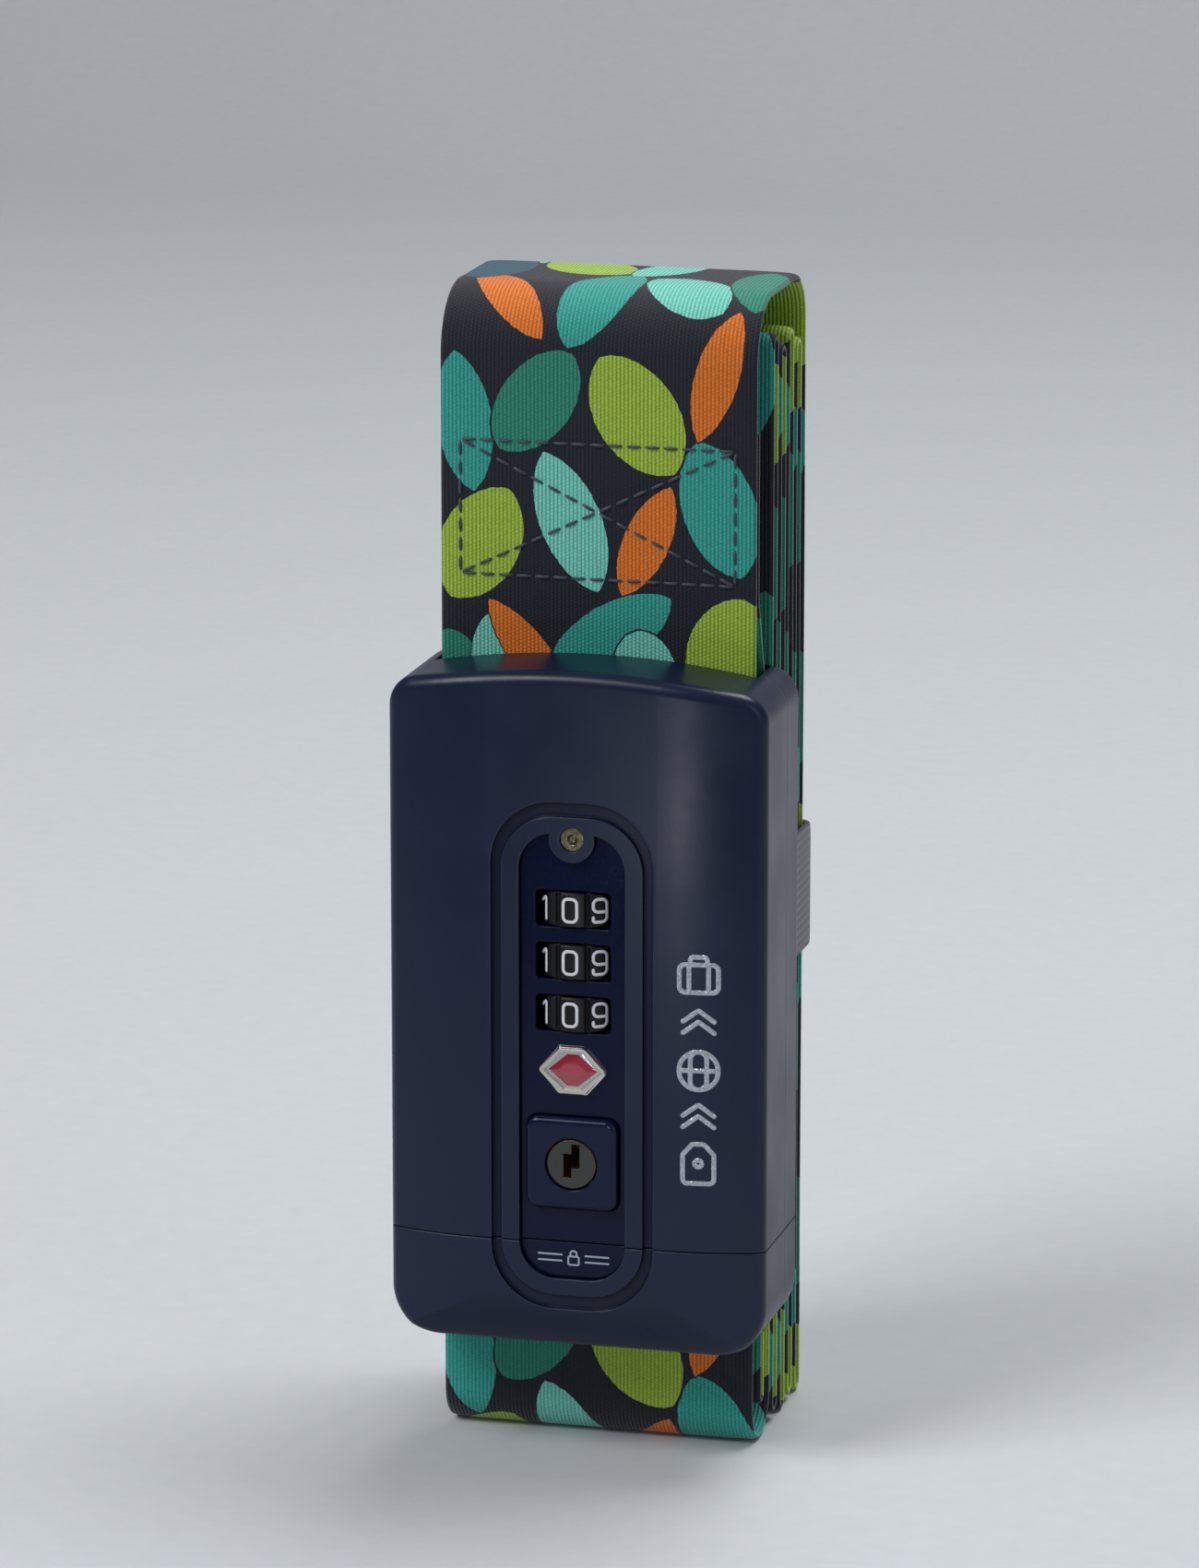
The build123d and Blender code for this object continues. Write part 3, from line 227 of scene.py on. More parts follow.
def mouldedPlastic(name, colours, roughness, grain, specular):
    # ABS moulded in a spark-eroded tool: fine matt grain, slow cloudiness in the gloss, paler rubbed edges, and
    # painted shade from ambient occlusion that darkens the colour and gloss in its grooves and recesses
    material, tree = newMaterial(name)
    place = add(tree, "TexCoord")
    rounded = add(tree, "Bevel", {"Radius": 0.45 * mm}, samples=5)
    plain = add(tree, "NewGeometry")
    lean = add(tree, "VectorMath", {0: (rounded, 0), 1: (plain, "Normal")}, operation="DOT_PRODUCT")
    edge = add(tree, "MapRange", {"Value": (lean, "Value"), 1: 1.0, 2: 0.8, 3: 0.0, 4: 1.0})
    cloud = add(tree, "TexNoise", {"Vector": (place, "Object"), "Scale": 1 / (14 * mm), "Detail": 3.0})
    fine = add(tree, "TexNoise", {"Vector": (place, "Object"), "Scale": 1 / (grain * mm), "Detail": 2.0})
    shade = add(tree, "Mix", {0: (cloud, "Fac"), 6: linear(colours[0]), 7: linear(colours[1])}, data_type="RGBA")
    rubbed = add(tree, "Mix", {0: (edge, 0), 6: (shade, 2), 7: linear(colours[2])}, data_type="RGBA")
    # painted shade: ambient occlusion darkens the colour and scales down the specular in grooves and recesses
    recessOcclusion = add(tree, "AmbientOcclusion", {"Distance": 1.8 * mm}, samples=8)
    paintedGrooveShade = add(tree, "MapRange", {"Value": (recessOcclusion, "AO"), 1: 0.55, 2: 0.97, 3: 0.35, 4: 1.0})
    grooveShadedColour = add(tree, "VectorMath", {0: (rubbed, 2), "Scale": (paintedGrooveShade, 0)}, operation="SCALE")
    gloss = add(tree, "Math", {0: (paintedGrooveShade, 0), 1: specular}, operation="MULTIPLY")
    dull = add(tree, "MapRange", {"Value": (cloud, "Fac"), 1: 0.3, 2: 0.7, 3: roughness - 0.04, 4: roughness + 0.05})
    bump = add(tree, "Bump", {"Height": (fine, "Fac"), "Strength": 0.25, "Distance": 0.03 * mm,
                              "Normal": (rounded, 0)})
    finishMaterial(tree, {"Base Color": (grooveShadedColour, 0), "Roughness": (dull, 0), "Normal": (bump, 0), "IOR": 1.53,
                          "Specular IOR Level": (gloss, 0)})
    return material


def polishedPlastic(name, colours, roughness, specular):
    # ABS moulded against a polished cavity: deep even gloss with a slight long wave, softened edges, hairline scuffs
    material, tree = newMaterial(name)
    place = add(tree, "TexCoord")
    rounded = add(tree, "Bevel", {"Radius": 0.35 * mm}, samples=5)
    wave = add(tree, "TexNoise", {"Vector": (place, "Object"), "Scale": 1 / (7 * mm), "Detail": 1.0})
    scuff = add(tree, "TexNoise", {"Vector": (place, "Object"), "Scale": 1 / (0.5 * mm), "Detail": 4.0})
    shade = add(tree, "Mix", {0: (wave, "Fac"), 6: linear(colours[0]), 7: linear(colours[1])}, data_type="RGBA")
    dull = add(tree, "MapRange", {"Value": (scuff, "Fac"), 1: 0.45, 2: 0.75, 3: roughness, 4: roughness + 0.08})
    bump = add(tree, "Bump", {"Height": (wave, "Fac"), "Strength": 0.2, "Distance": 0.15 * mm,
                              "Normal": (rounded, 0)})
    finishMaterial(tree, {"Base Color": (shade, 2), "Roughness": (dull, 0), "Normal": (bump, 0), "IOR": 1.53,
                          "Specular IOR Level": specular})
    return material


def metal(name, colours, roughness, grain, depth=0.02):
    # bare or plated metal: colour and gloss vary with a fine grain
    material, tree = newMaterial(name)
    place = add(tree, "TexCoord")
    rounded = add(tree, "Bevel", {"Radius": 0.15 * mm}, samples=4)
    fine = add(tree, "TexNoise", {"Vector": (place, "Object"), "Scale": 1 / (grain * mm), "Detail": 3.0})
    shade = add(tree, "Mix", {0: (fine, "Fac"), 6: linear(colours[0]), 7: linear(colours[1])}, data_type="RGBA")
    dull = add(tree, "MapRange", {"Value": (fine, "Fac"), 1: 0.3, 2: 0.7, 3: roughness - 0.06, 4: roughness + 0.08})
    bump = add(tree, "Bump", {"Height": (fine, "Fac"), "Strength": 0.3, "Distance": depth * mm,
                              "Normal": (rounded, 0)})
    finishMaterial(tree, {"Base Color": (shade, 2), "Metallic": 1.0, "Roughness": (dull, 0), "Normal": (bump, 0)})
    return material


def platedPlug(name, front, brass, roughness, centre):
    # turned brass plug, nickel plated on its face only: fine rings round the axis, and brass down the keyway
    material, tree = newMaterial(name)
    place = add(tree, "TexCoord")
    plain = add(tree, "NewGeometry")
    axes = add(tree, "SeparateXYZ", {0: (plain, "True Normal")})
    faceOn = add(tree, "MapRange", {"Value": (axes, "Y"), 1: -0.5, 2: -0.9, 3: 0.0, 4: 1.0})
    away = add(tree, "VectorMath", {0: (place, "Object"), 1: centre}, operation="SUBTRACT")
    flat = add(tree, "VectorMath", {0: (away, 0), 1: (1, 0, 1)}, operation="MULTIPLY")
    radius = add(tree, "VectorMath", {0: (flat, 0)}, operation="LENGTH")
    rings = add(tree, "Math", {0: (radius, "Value"), 1: 2 * math.pi / (0.24 * mm)}, operation="MULTIPLY")
    wave = add(tree, "Math", {0: (rings, 0)}, operation="SINE")
    fine = add(tree, "TexNoise", {"Vector": (place, "Object"), "Scale": 1 / (0.15 * mm), "Detail": 2.0})
    height = add(tree, "Math", {0: (wave, 0), 1: 0.4, 2: (fine, "Fac")}, operation="MULTIPLY_ADD")
    shade = add(tree, "Mix", {0: (faceOn, 0), 6: linear(brass), 7: linear(front)}, data_type="RGBA")
    dull = add(tree, "MapRange", {"Value": (fine, "Fac"), 1: 0.3, 2: 0.7, 3: roughness - 0.04, 4: roughness + 0.05})
    rounded = add(tree, "Bevel", {"Radius": 0.12 * mm}, samples=4)
    bump = add(tree, "Bump", {"Height": (height, 0), "Strength": 0.25, "Distance": 0.01 * mm,
                              "Normal": (rounded, 0)})
    finishMaterial(tree, {"Base Color": (shade, 2), "Metallic": 1.0, "Roughness": (dull, 0), "Normal": (bump, 0)})
    return material


def printedInk(name, colours, roughness, metallic=0.0, flake=0.0):
    # pad-printed ink: slightly uneven cover; with flake it is a silver ink whose grains catch light one by one
    material, tree = newMaterial(name)
    place = add(tree, "TexCoord")
    patch = add(tree, "TexNoise", {"Vector": (place, "Object"), "Scale": 1 / (0.6 * mm), "Detail": 3.0})
    shade = add(tree, "Mix", {0: (patch, "Fac"), 6: linear(colours[0]), 7: linear(colours[1])}, data_type="RGBA")
    inputs = {"Base Color": (shade, 2), "Roughness": roughness, "Metallic": metallic, "IOR": 1.5}
    if flake:
        grains = add(tree, "TexVoronoi", {"Vector": (place, "Object"), "Scale": 1 / (flake * mm)})
        tilt = add(tree, "VectorMath", {0: (grains, "Color"), 1: (0.5, 0.5, 0.5)}, operation="SUBTRACT")
        plain = add(tree, "NewGeometry")
        tipped = add(tree, "VectorMath", {0: (tilt, 0), 1: (0.55,) * 3, 2: (plain, "Normal")},
                     operation="MULTIPLY_ADD")
        facing = add(tree, "VectorMath", {0: (tipped, 0)}, operation="NORMALIZE")
        inputs["Normal"] = (facing, 0)
    finishMaterial(tree, inputs)
    return material


# The print's repeat, in millimetres of the strap's width and length. Each leaf is (across, along, half width, half
# length, turn, point, colour); point 0 is an oval and 1 a sharp-ended leaf. Later leaves lie over earlier ones.
printRepeat = {
    "length": 86,
    "start": 59.8,  # length along the strap at the buckle's top edge
    "outline": 0.05,
    "ground": "#141926",
    "colours": {"teal": "#2FA093", "aqua": "#74CDBB", "pine": "#26866F", "orange": "#DE7420", "lime": "#9DBB3C",
                "deep": "#1C4F63"},
    "leaves": [
        (-23.0, -2.0, 4.2, 5.2, 10, 0.1, "pine"),
        (-16.0, -2.0, 3.9, 8.2, 4, 0.15, "aqua"),
        (-10.0, -0.8, 3.2, 11.5, 38, 0.6, "orange"),
        (2.2, 3.6, 4.6, 11.5, -58, 0.4, "teal"),
        (7.8, -2.0, 5.0, 6.6, 12, 0.1, "aqua"),
        (21.3, 1.0, 7.0, 9.5, -12, 0.15, "lime"),
        (-18.5, 17.0, 6.3, 9.9, -28, 0.35, "lime"),
        (-4.0, 21.0, 4.9, 11.6, 22, 0.6, "aqua"),
        (8.0, 18.5, 3.6, 9.5, -24, 0.8, "orange"),
        (19.5, 24.0, 5.8, 11.0, 18, 0.3, "teal"),
        (-21.0, 36.0, 4.5, 11.0, 8, 0.5, "teal"),
        (-9.5, 39.5, 5.6, 9.5, -38, 0.2, "pine"),
        (6.5, 38.0, 6.5, 10.6, 34, 0.3, "lime"),
        (19.0, 44.5, 3.4, 10.5, -16, 0.8, "orange"),
        (-15.5, 57.0, 3.4, 10.5, 40, 0.7, "orange"),
        (-1.0, 58.0, 5.2, 10.8, -20, 0.4, "teal"),
        (12.5, 60.0, 5.6, 8.8, 48, 0.2, "aqua"),
        (23.0, 65.0, 4.9, 10.5, 6, 0.4, "pine"),
        (-20.5, 70.5, 5.2, 9.7, -8, 0.3, "deep"),
        (-6.5, 73.5, 5.8, 8.4, 64, 0.2, "lime"),
        (6.0, 75.0, 4.0, 8.8, -30, 0.7, "aqua"),
    ],
}


def printedWebbing():
    # flat-woven polyester webbing, transfer-printed: ribs 0.62 mm apart along the strap, each with the short floats of
    # its yarn, a painted highlight on the ribs and painted shade between them, and a soft sheen
    spec = printRepeat
    ribPitch, floatPitch = 0.62, 0.55
    material, tree = newMaterial("printedPolyesterWebbing")
    onStrap = add(tree, "Attribute", attribute_name="strapMm")
    axes = add(tree, "SeparateXYZ", {0: (onStrap, "Vector")})
    wobble = add(tree, "TexNoise", {"Vector": (onStrap, "Vector"), "Scale": 0.9, "Detail": 1.0})
    shift = add(tree, "VectorMath", {0: (wobble, "Color"), 1: (0.35,) * 3}, operation="MULTIPLY")
    drawn = add(tree, "VectorMath", {0: (onStrap, "Vector"), 1: (shift, 0)}, operation="ADD")
    colour = None
    for across, along, halfWidth, halfLength, turn, point, dye in spec["leaves"]:
        offset = add(tree, "VectorMath", {0: (drawn, 0), 1: (across, along + spec["start"], 0)},
                     operation="SUBTRACT")
        wrapped = add(tree, "VectorMath", {0: (offset, 0), 1: (999, spec["length"] / 2, 9),
                                           2: (-999, -spec["length"] / 2, -9)}, operation="WRAP")
        local = add(tree, "Mapping", {"Vector": (wrapped, 0), "Rotation": (0, 0, math.radians(turn)),
                                      "Scale": (halfWidth, halfLength / math.sqrt(1 + 2 * point), 1e6)},
                    vector_type="TEXTURE")
        half = add(tree, "VectorMath", {0: (local, 0)}, operation="ABSOLUTE")
        moved = add(tree, "VectorMath", {0: (half, 0), 1: (point, 0, 0)}, operation="ADD")
        away = add(tree, "VectorMath", {0: (moved, 0)}, operation="LENGTH")
        inside = add(tree, "Math", {0: (away, "Value"), 1: 1 + point}, operation="LESS_THAN")
        around = add(tree, "Math", {0: (away, "Value"), 1: 1 + point + spec["outline"]}, operation="LESS_THAN")
        ground = linear(spec["ground"])
        rimmed = add(tree, "Mix", {0: (around, 0), 6: colour or ground, 7: ground}, data_type="RGBA")
        dyed = add(tree, "Mix", {0: (inside, 0), 6: (rimmed, 2), 7: linear(spec["colours"][dye])},
                   data_type="RGBA")
        colour = (dyed, 2)
    rib = add(tree, "Math", {0: (axes, "X"), 1: 1 / ribPitch}, operation="MULTIPLY")
    ribShape = add(tree, "Math", {0: (rib, 0), 1: 0.5}, operation="PINGPONG")
    ribNumber = add(tree, "Math", {0: (rib, 0)}, operation="FLOOR")
    lengthwise = add(tree, "Math", {0: (axes, "Y"), 1: 1 / floatPitch}, operation="MULTIPLY")
    staggered = add(tree, "Math", {0: (ribNumber, 0), 1: 0.5, 2: (lengthwise, 0)}, operation="MULTIPLY_ADD")
    floatShape = add(tree, "Math", {0: (staggered, 0), 1: 0.5}, operation="PINGPONG")
    steps = add(tree, "MapRange", {"Value": (floatShape, 0), 1: 0.0, 2: 0.5, 3: 1.1, 4: 2.0})
    weave = add(tree, "Math", {0: (ribShape, 0), 1: (steps, 0)}, operation="MULTIPLY")
    soft = add(tree, "Math", {0: (weave, 0), 1: 0.7}, operation="POWER")
    # painted highlight on the raised ribs and painted shade between them: the print's colour is scaled by the weave's
    # height
    ribLightAndShade = add(tree, "MapRange", {"Value": (soft, 0), 1: 0.0, 2: 1.0, 3: 0.55, 4: 1.3})
    shaded = add(tree, "VectorMath", {0: colour, "Scale": (ribLightAndShade, 0)}, operation="SCALE")
    fuzz = add(tree, "TexNoise", {"Vector": (onStrap, "Vector"), "Scale": 2.2, "Detail": 4.0})
    lint = add(tree, "MapRange", {"Value": (fuzz, "Fac"), 1: 0.35, 2: 0.75, 3: 0.9, 4: 1.12})
    tinted = add(tree, "VectorMath", {0: (shaded, 0), "Scale": (lint, 0)}, operation="SCALE")
    bump = add(tree, "Bump", {"Height": (soft, 0), "Strength": 0.9, "Distance": 0.2 * mm})
    finishMaterial(tree, {"Base Color": (tinted, 0), "Roughness": 0.72, "Normal": (bump, 0), "IOR": 1.5,
                          "Sheen Weight": 0.25, "Sheen Roughness": 0.4, "Specular IOR Level": 0.35})
    return material


def wovenElastic():
    # knitted elastic: raised cords round the loop, 1.3 mm apart, with fine yarn across them, matt and slightly hairy
    material, tree = newMaterial("knittedElastic")
    onBand = add(tree, "Attribute", attribute_name="bandMm")
    axes = add(tree, "SeparateXYZ", {0: (onBand, "Vector")})
    cord = add(tree, "Math", {0: (axes, "X"), 1: 1 / 1.3}, operation="MULTIPLY")
    cordShape = add(tree, "Math", {0: (cord, 0), 1: 0.5}, operation="PINGPONG")
    yarn = add(tree, "Math", {0: (axes, "Y"), 1: 1 / 0.5}, operation="MULTIPLY")
    yarnShape = add(tree, "Math", {0: (yarn, 0), 1: 0.5}, operation="PINGPONG")
    relief = add(tree, "Math", {0: (yarnShape, 0), 1: 0.45, 2: (cordShape, 0)}, operation="MULTIPLY_ADD")
    hair = add(tree, "TexNoise", {"Vector": (onBand, "Vector"), "Scale": 1.6, "Detail": 4.0})
    # painted highlight on the raised cords and painted shade between them, mixed with a random hair tone
    cordShadeAndHair = add(tree, "Math", {0: (hair, "Fac"), 1: 0.5, 2: (relief, 0)}, operation="MULTIPLY_ADD")
    shade = add(tree, "Mix", {0: (cordShadeAndHair, 0), 6: linear("#0E1320"), 7: linear("#2A3246")}, data_type="RGBA")
    bump = add(tree, "Bump", {"Height": (relief, 0), "Strength": 0.8, "Distance": 0.25 * mm})
    finishMaterial(tree, {"Base Color": (shade, 2), "Roughness": 0.85, "Normal": (bump, 0), "Sheen Weight": 0.35,
                          "Sheen Roughness": 0.5})
    return material


def clearResin():
    # poured clear epoxy: nothing of its own but the gloss, stronger towards grazing angles
    material, tree = newMaterial("pouredClearEpoxy")
    gloss = add(tree, "BsdfGlossy", {"Color": (1, 1, 1, 1), "Roughness": 0.04})
    through = add(tree, "BsdfTransparent", {"Color": linear("#F2F5F8")})
    share = add(tree, "Fresnel", {"IOR": 1.55})
    shader = add(tree, "MixShader", {0: (share, 0), 1: (through, 0), 2: (gloss, 0)})
    add(tree, "OutputMaterial", {"Surface": (shader, 0)})
    return material


def clearRed():
    # red acrylic over foil: saturated, glassy, a little deeper in places
    material, tree = newMaterial("foiledRedAcrylic")
    place = add(tree, "TexCoord")
    patch = add(tree, "TexNoise", {"Vector": (place, "Object"), "Scale": 1 / (2.5 * mm), "Detail": 1.0})
    shade = add(tree, "Mix", {0: (patch, "Fac"), 6: linear("#9C0322"), 7: linear("#B8082F")}, data_type="RGBA")
    finishMaterial(tree, {"Base Color": (shade, 2), "Roughness": 0.2, "IOR": 1.49, "Coat Weight": 0.6,
                          "Coat Roughness": 0.05})
    return material


def sewingThread():
    # bonded polyester thread: two plies twisted, satin
    material, tree = newMaterial("bondedPolyesterThread")
    place = add(tree, "TexCoord")
    ply = add(tree, "TexNoise", {"Vector": (place, "Object"), "Scale": 1 / (0.25 * mm), "Detail": 2.0})
    shade = add(tree, "Mix", {0: (ply, "Fac"), 6: linear("#171D2C"), 7: linear("#39435A")}, data_type="RGBA")
    bump = add(tree, "Bump", {"Height": (ply, "Fac"), "Strength": 0.5, "Distance": 0.05 * mm})
    finishMaterial(tree, {"Base Color": (shade, 2), "Roughness": 0.5, "Normal": (bump, 0), "Sheen Weight": 0.3})
    return material


keyCentre = (Vector(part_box("key_plug")[0]) + Vector(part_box("key_plug")[1])) / 2
finishes = {
    "shell": mouldedPlastic("navyMouldedAbs", ("#0D172F", "#111D36", "#27324C"), 0.31, 0.35, 0.3),
    "panel": polishedPlastic("navyPolishedAbs", ("#040B27", "#060E2D"), 0.16, 0.16),
    "button": polishedPlastic("navyGlossAbs", ("#07102E", "#091334"), 0.14, 0.22),
    "dial": mouldedPlastic("charcoalMouldedAcetal", ("#060708", "#090B0C", "#1D2225"), 0.36, 0.3, 0.25),
    "zinc": metal("dieCastZinc", ("#8C8F92", "#A9ABAD"), 0.42, 0.5, 0.05),
    "steel": metal("zincPlatedSteel", ("#A8ABAE", "#B8BBBE"), 0.28, 0.4, 0.01),
    "spring": metal("hardDrawnSpringSteel", ("#8D9094", "#B0B3B6"), 0.22, 0.25),
    "brass": metal("turnedBrass", ("#A57C36", "#C79B4C"), 0.24, 0.4),
    "plug": platedPlug("nickelFacedBrassPlug", "#4C4F4B", "#C4924A", 0.28, tuple(keyCentre)),
    "pin": metal("satinNickelPin", ("#9A9274", "#A59D80"), 0.16, 0.8, 0.002),
    "trim": metal("brightHotFoil", ("#C9C3B8", "#D8D3C9"), 0.3, 0.2, 0.01),
    "gem": clearRed(),
    "resin": clearResin(),
    "webbing": printedWebbing(),
    "elastic": wovenElastic(),
    "thread": sewingThread(),
    "dialInk": printedInk("paleDialInk", ("#C3C8CC", "#D6DADD"), 0.45),
    "silverInk": printedInk("silverFlakeInk", ("#8E949E", "#C6CBD2"), 0.36, 0.7, 0.16),
    "paleInk": printedInk("palePanelInk", ("#8F9AAA", "#9EA8B6"), 0.4),
}
nodeFinish = {
    "front_cover": "shell", "back_cover": "shell", "lower_front_cover": "shell", "lower_back_cover": "shell",
    "dial_plate": "panel", "lower_panel": "panel", "release_button": "button",
    "wheel_1": "dial", "wheel_2": "dial", "wheel_3": "dial",
    "chassis": "zinc", "key_cam": "steel", "locking_comb": "steel",
    "tongue": "steel", "adjuster_bar": "steel", "webbing_bar": "steel", "spindle": "steel",
    "lower_screws": "steel", "housing_screws": "steel", "chassis_screws": "steel", "catch_screw": "steel",
    "spring_catch": "spring", "detent_spring": "spring", "spindle_spring": "spring", "button_spring": "spring",
    "plug_clip": "spring", "spindle_clip": "spring",
    "sleeve_1": "brass", "sleeve_2": "brass", "sleeve_3": "brass", "wafers": "brass", "key_barrel": "brass",
    "key_plug": "plug", "reset_button": "pin", "badge_frame": "trim", "badge_gem": "gem",
}
for nodeName, finish in nodeFinish.items():
    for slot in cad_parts[nodeName].material_slots:
        slot.material = finishes[finish]
print("materials made,", len(finishes))


coilBox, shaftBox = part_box("button_spring"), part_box("spindle_spring")
springs = {
    # name: (CAD node, body at its moving end, where it leaves that body, where it joins the buckle)
    "buttonCoil": ("button_spring", "release_button", (0, coilBox[0].y, 0), (0, coilBox[1].y, 0)),
    "spindleCoil": ("spindle_spring", "spindle", (0, 0, shaftBox[1].z), (0, 0, shaftBox[0].z)),
    "catchLeaf": ("spring_catch", "release_button", (0, 0, buckleLow + 35.9 * mm), (0, 0, buckleLow + 47 * mm)),
}


# springs with the CAD's own shape, copied into pieces of their own in place of the CAD nodes
def makeSprings():
    for name, (nodeName, body, start, end) in springs.items():
        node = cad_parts[nodeName]
        mesh = node.data.copy()
        mesh.name = name
        mesh.transform(node.matrix_world)
        piece = bpy.data.objects.new(name, mesh)
        scene.collection.objects.link(piece)
        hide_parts(nodeName)
        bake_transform(piece)


makeSprings()
print("springs made,", len(springs))


webbing = {
    "layers": 9,
    "thickness": 1.6 * mm,
    "runStep": 5 * mm,
    "arcStep": 0.4 * mm,
    "wave": 0.22 * mm,  # how far a slack layer bows out of flat
    "bowLength": 31 * mm,
    "topDrop": [0, 2.4 * mm, 0.7 * mm, 3.1 * mm],  # how much lower each top fold sits than the first
    "bottomRise": [1.1 * mm, 0, 0.8 * mm, 0],
}


def onStrap(piece, points, along, section, name="strapMm"):
    # the place on the strap in millimetres, for the print and weave: across, along, and the side
    across = np.broadcast_to(section[:, 0], points.shape[:2])
    side = np.broadcast_to(np.sign(section[:, 1]), points.shape[:2])
    lengthwise = np.broadcast_to(along[:, None], points.shape[:2])
    spots = np.stack([across / mm, lengthwise / mm, side], -1).astype(np.float32)
    attribute = piece.data.attributes.new(name, "FLOAT_VECTOR", "POINT")
    attribute.data.foreach_set("vector", spots.ravel())


def makeWebbing():
    spec = webbing
    thick = spec["thickness"]
    section = bandSection(hankBox[1].x - hankBox[0].x, thick, 36)
    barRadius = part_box("webbing_bar")[1].z - topBar.z
    wrap = barRadius + thick / 2  # the ply's distance from a bar's axis
    front, rear = topBar.y - wrap, topBar.y + wrap
    pitch = (hankBox[1].y - hankBox[0].y - thick) / (spec["layers"] - 1)
    layers = hankBox[0].y + thick / 2 + pitch * np.arange(spec["layers"])
    archTop = upperBox[1].z - thick / 2
    archFront, archBack = 10 * mm, 7 * mm
    tailTop = topBar.z + 43 * mm
    innerPly = front + thick + 0.1 * mm
    cutAt = archTop - archBack

    # top piece: the sewn tail, round the bar, up the front and over the top to the outermost layer
    route, ways = roundedRoute([
        (innerPly, tailTop), (innerPly, topBar.z + 17 * mm, 9 * mm), (rear, topBar.z + 5 * mm, 9 * mm),
        (rear, topBar.z - wrap, wrap), (front, topBar.z - wrap, wrap), (front, archTop, archFront),
        (layers[-1], archTop, archBack), (layers[-1], cutAt - 0.01 * mm),
    ], spec["runStep"], spec["arcStep"])
    along = lengthAlong(route)
    points, faces = carried(route, ways, section)
    upper = newPiece("webbingTop", points, faces, finishes["webbing"])
    onStrap(upper, points, along, section)
    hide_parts("webbing_upper")
    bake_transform(upper)

    # the rest: down the outermost layer, to and fro to the buckle, under it, up round the low bar, down to the hem
    foldTop = hankBox[1].z - thick / 2
    corners = [(layers[-1], cutAt)]
    for index in range(spec["layers"] - 1, 0, -1):
        atFloor = index % 2 == 0
        if atFloor:
            z = thick / 2 + spec["bottomRise"][index // 2 - 1]
        else:
            z = foldTop - spec["topDrop"][index // 2]
        corners += [(layers[index], z, pitch / 2), (layers[index - 1], z, pitch / 2)]
    loop = (layers[0] - front) / 2
    tailEnd = lowerBox[0].z + 7 * mm
    hem = thick / 2 + 0.1 * mm
    corners += [
        (layers[0], thick / 2, loop), (front, thick / 2, loop), (front, lowBar.z + wrap, wrap),
        (rear, lowBar.z + wrap, wrap), (rear, tailEnd - hem, hem), (rear + 2 * hem, tailEnd - hem, hem),
        (rear + 2 * hem, tailEnd + 10 * mm),
    ]
    route, ways = roundedRoute(corners, spec["runStep"], spec["arcStep"])
    laid = lengthAlong(route)
    fade = 20 * mm  # the bow dies away over this length towards the folds and the keeper
    aboveFloor = np.clip((route[:, 1] - 14 * mm) / fade, 0, 1)
    belowTop = np.clip((foldTop - 12 * mm - route[:, 1]) / fade, 0, 1)
    held = np.clip(np.abs(route[:, 1] - (keeperBox[0].z + keeperBox[1].z) / 2) / fade - 0.5, 0, 1)
    bow = spec["wave"] * np.sin(laid / spec["bowLength"]) * aboveFloor * belowTop * held
    route[:, 0] += bow * (route[:, 0] > layers[0] + pitch / 2)
    points, faces = carried(route, ways, section)
    hank = newPiece("webbingFolded", points, faces, finishes["webbing"])
    onStrap(hank, points, along[-1] + laid, section)
    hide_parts("webbing_hank", "webbing_lower")
    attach(hank, "strap")
    print(f"webbing {1000 * (along[-1] + laid[-1]):.0f} mm long")
    return front - thick / 2, tailTop


def makeKeeper():
    # a rounded rectangle round the folded strap, with the band's flat section carried round it
    low, high = keeperBox
    thick = 1.0 * mm
    halfX, yLow, yHigh = high.x - thick / 2, low.y + thick / 2, high.y - thick / 2
    corner = 1.6 * mm
    route, ways = roundedRoute([
        (-halfX, yLow, corner), (halfX, yLow, corner), (halfX, yHigh, corner), (-halfX, yHigh, corner),
    ], 3 * mm, 0.3 * mm, closed=True)
    section = bandSection(high.z - low.z, thick, 28, 0.12, 0.5)
    around = lengthAlong(route)
    points, faces = carried(route, ways, section, closed=True)
    points[..., 0] += (low.z + high.z) / 2
    points = np.roll(points, -1, axis=-1)
    piece = newPiece("keeperElastic", points, faces, finishes["elastic"])
    onStrap(piece, points, around, section, "bandMm")
    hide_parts("keeper_band")
    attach(piece, "strap")


stitchWork = {"pitch": 3.0 * mm, "length": 2.3 * mm, "radius": 0.24 * mm, "margin": 3.2 * mm, "height": 21 * mm}


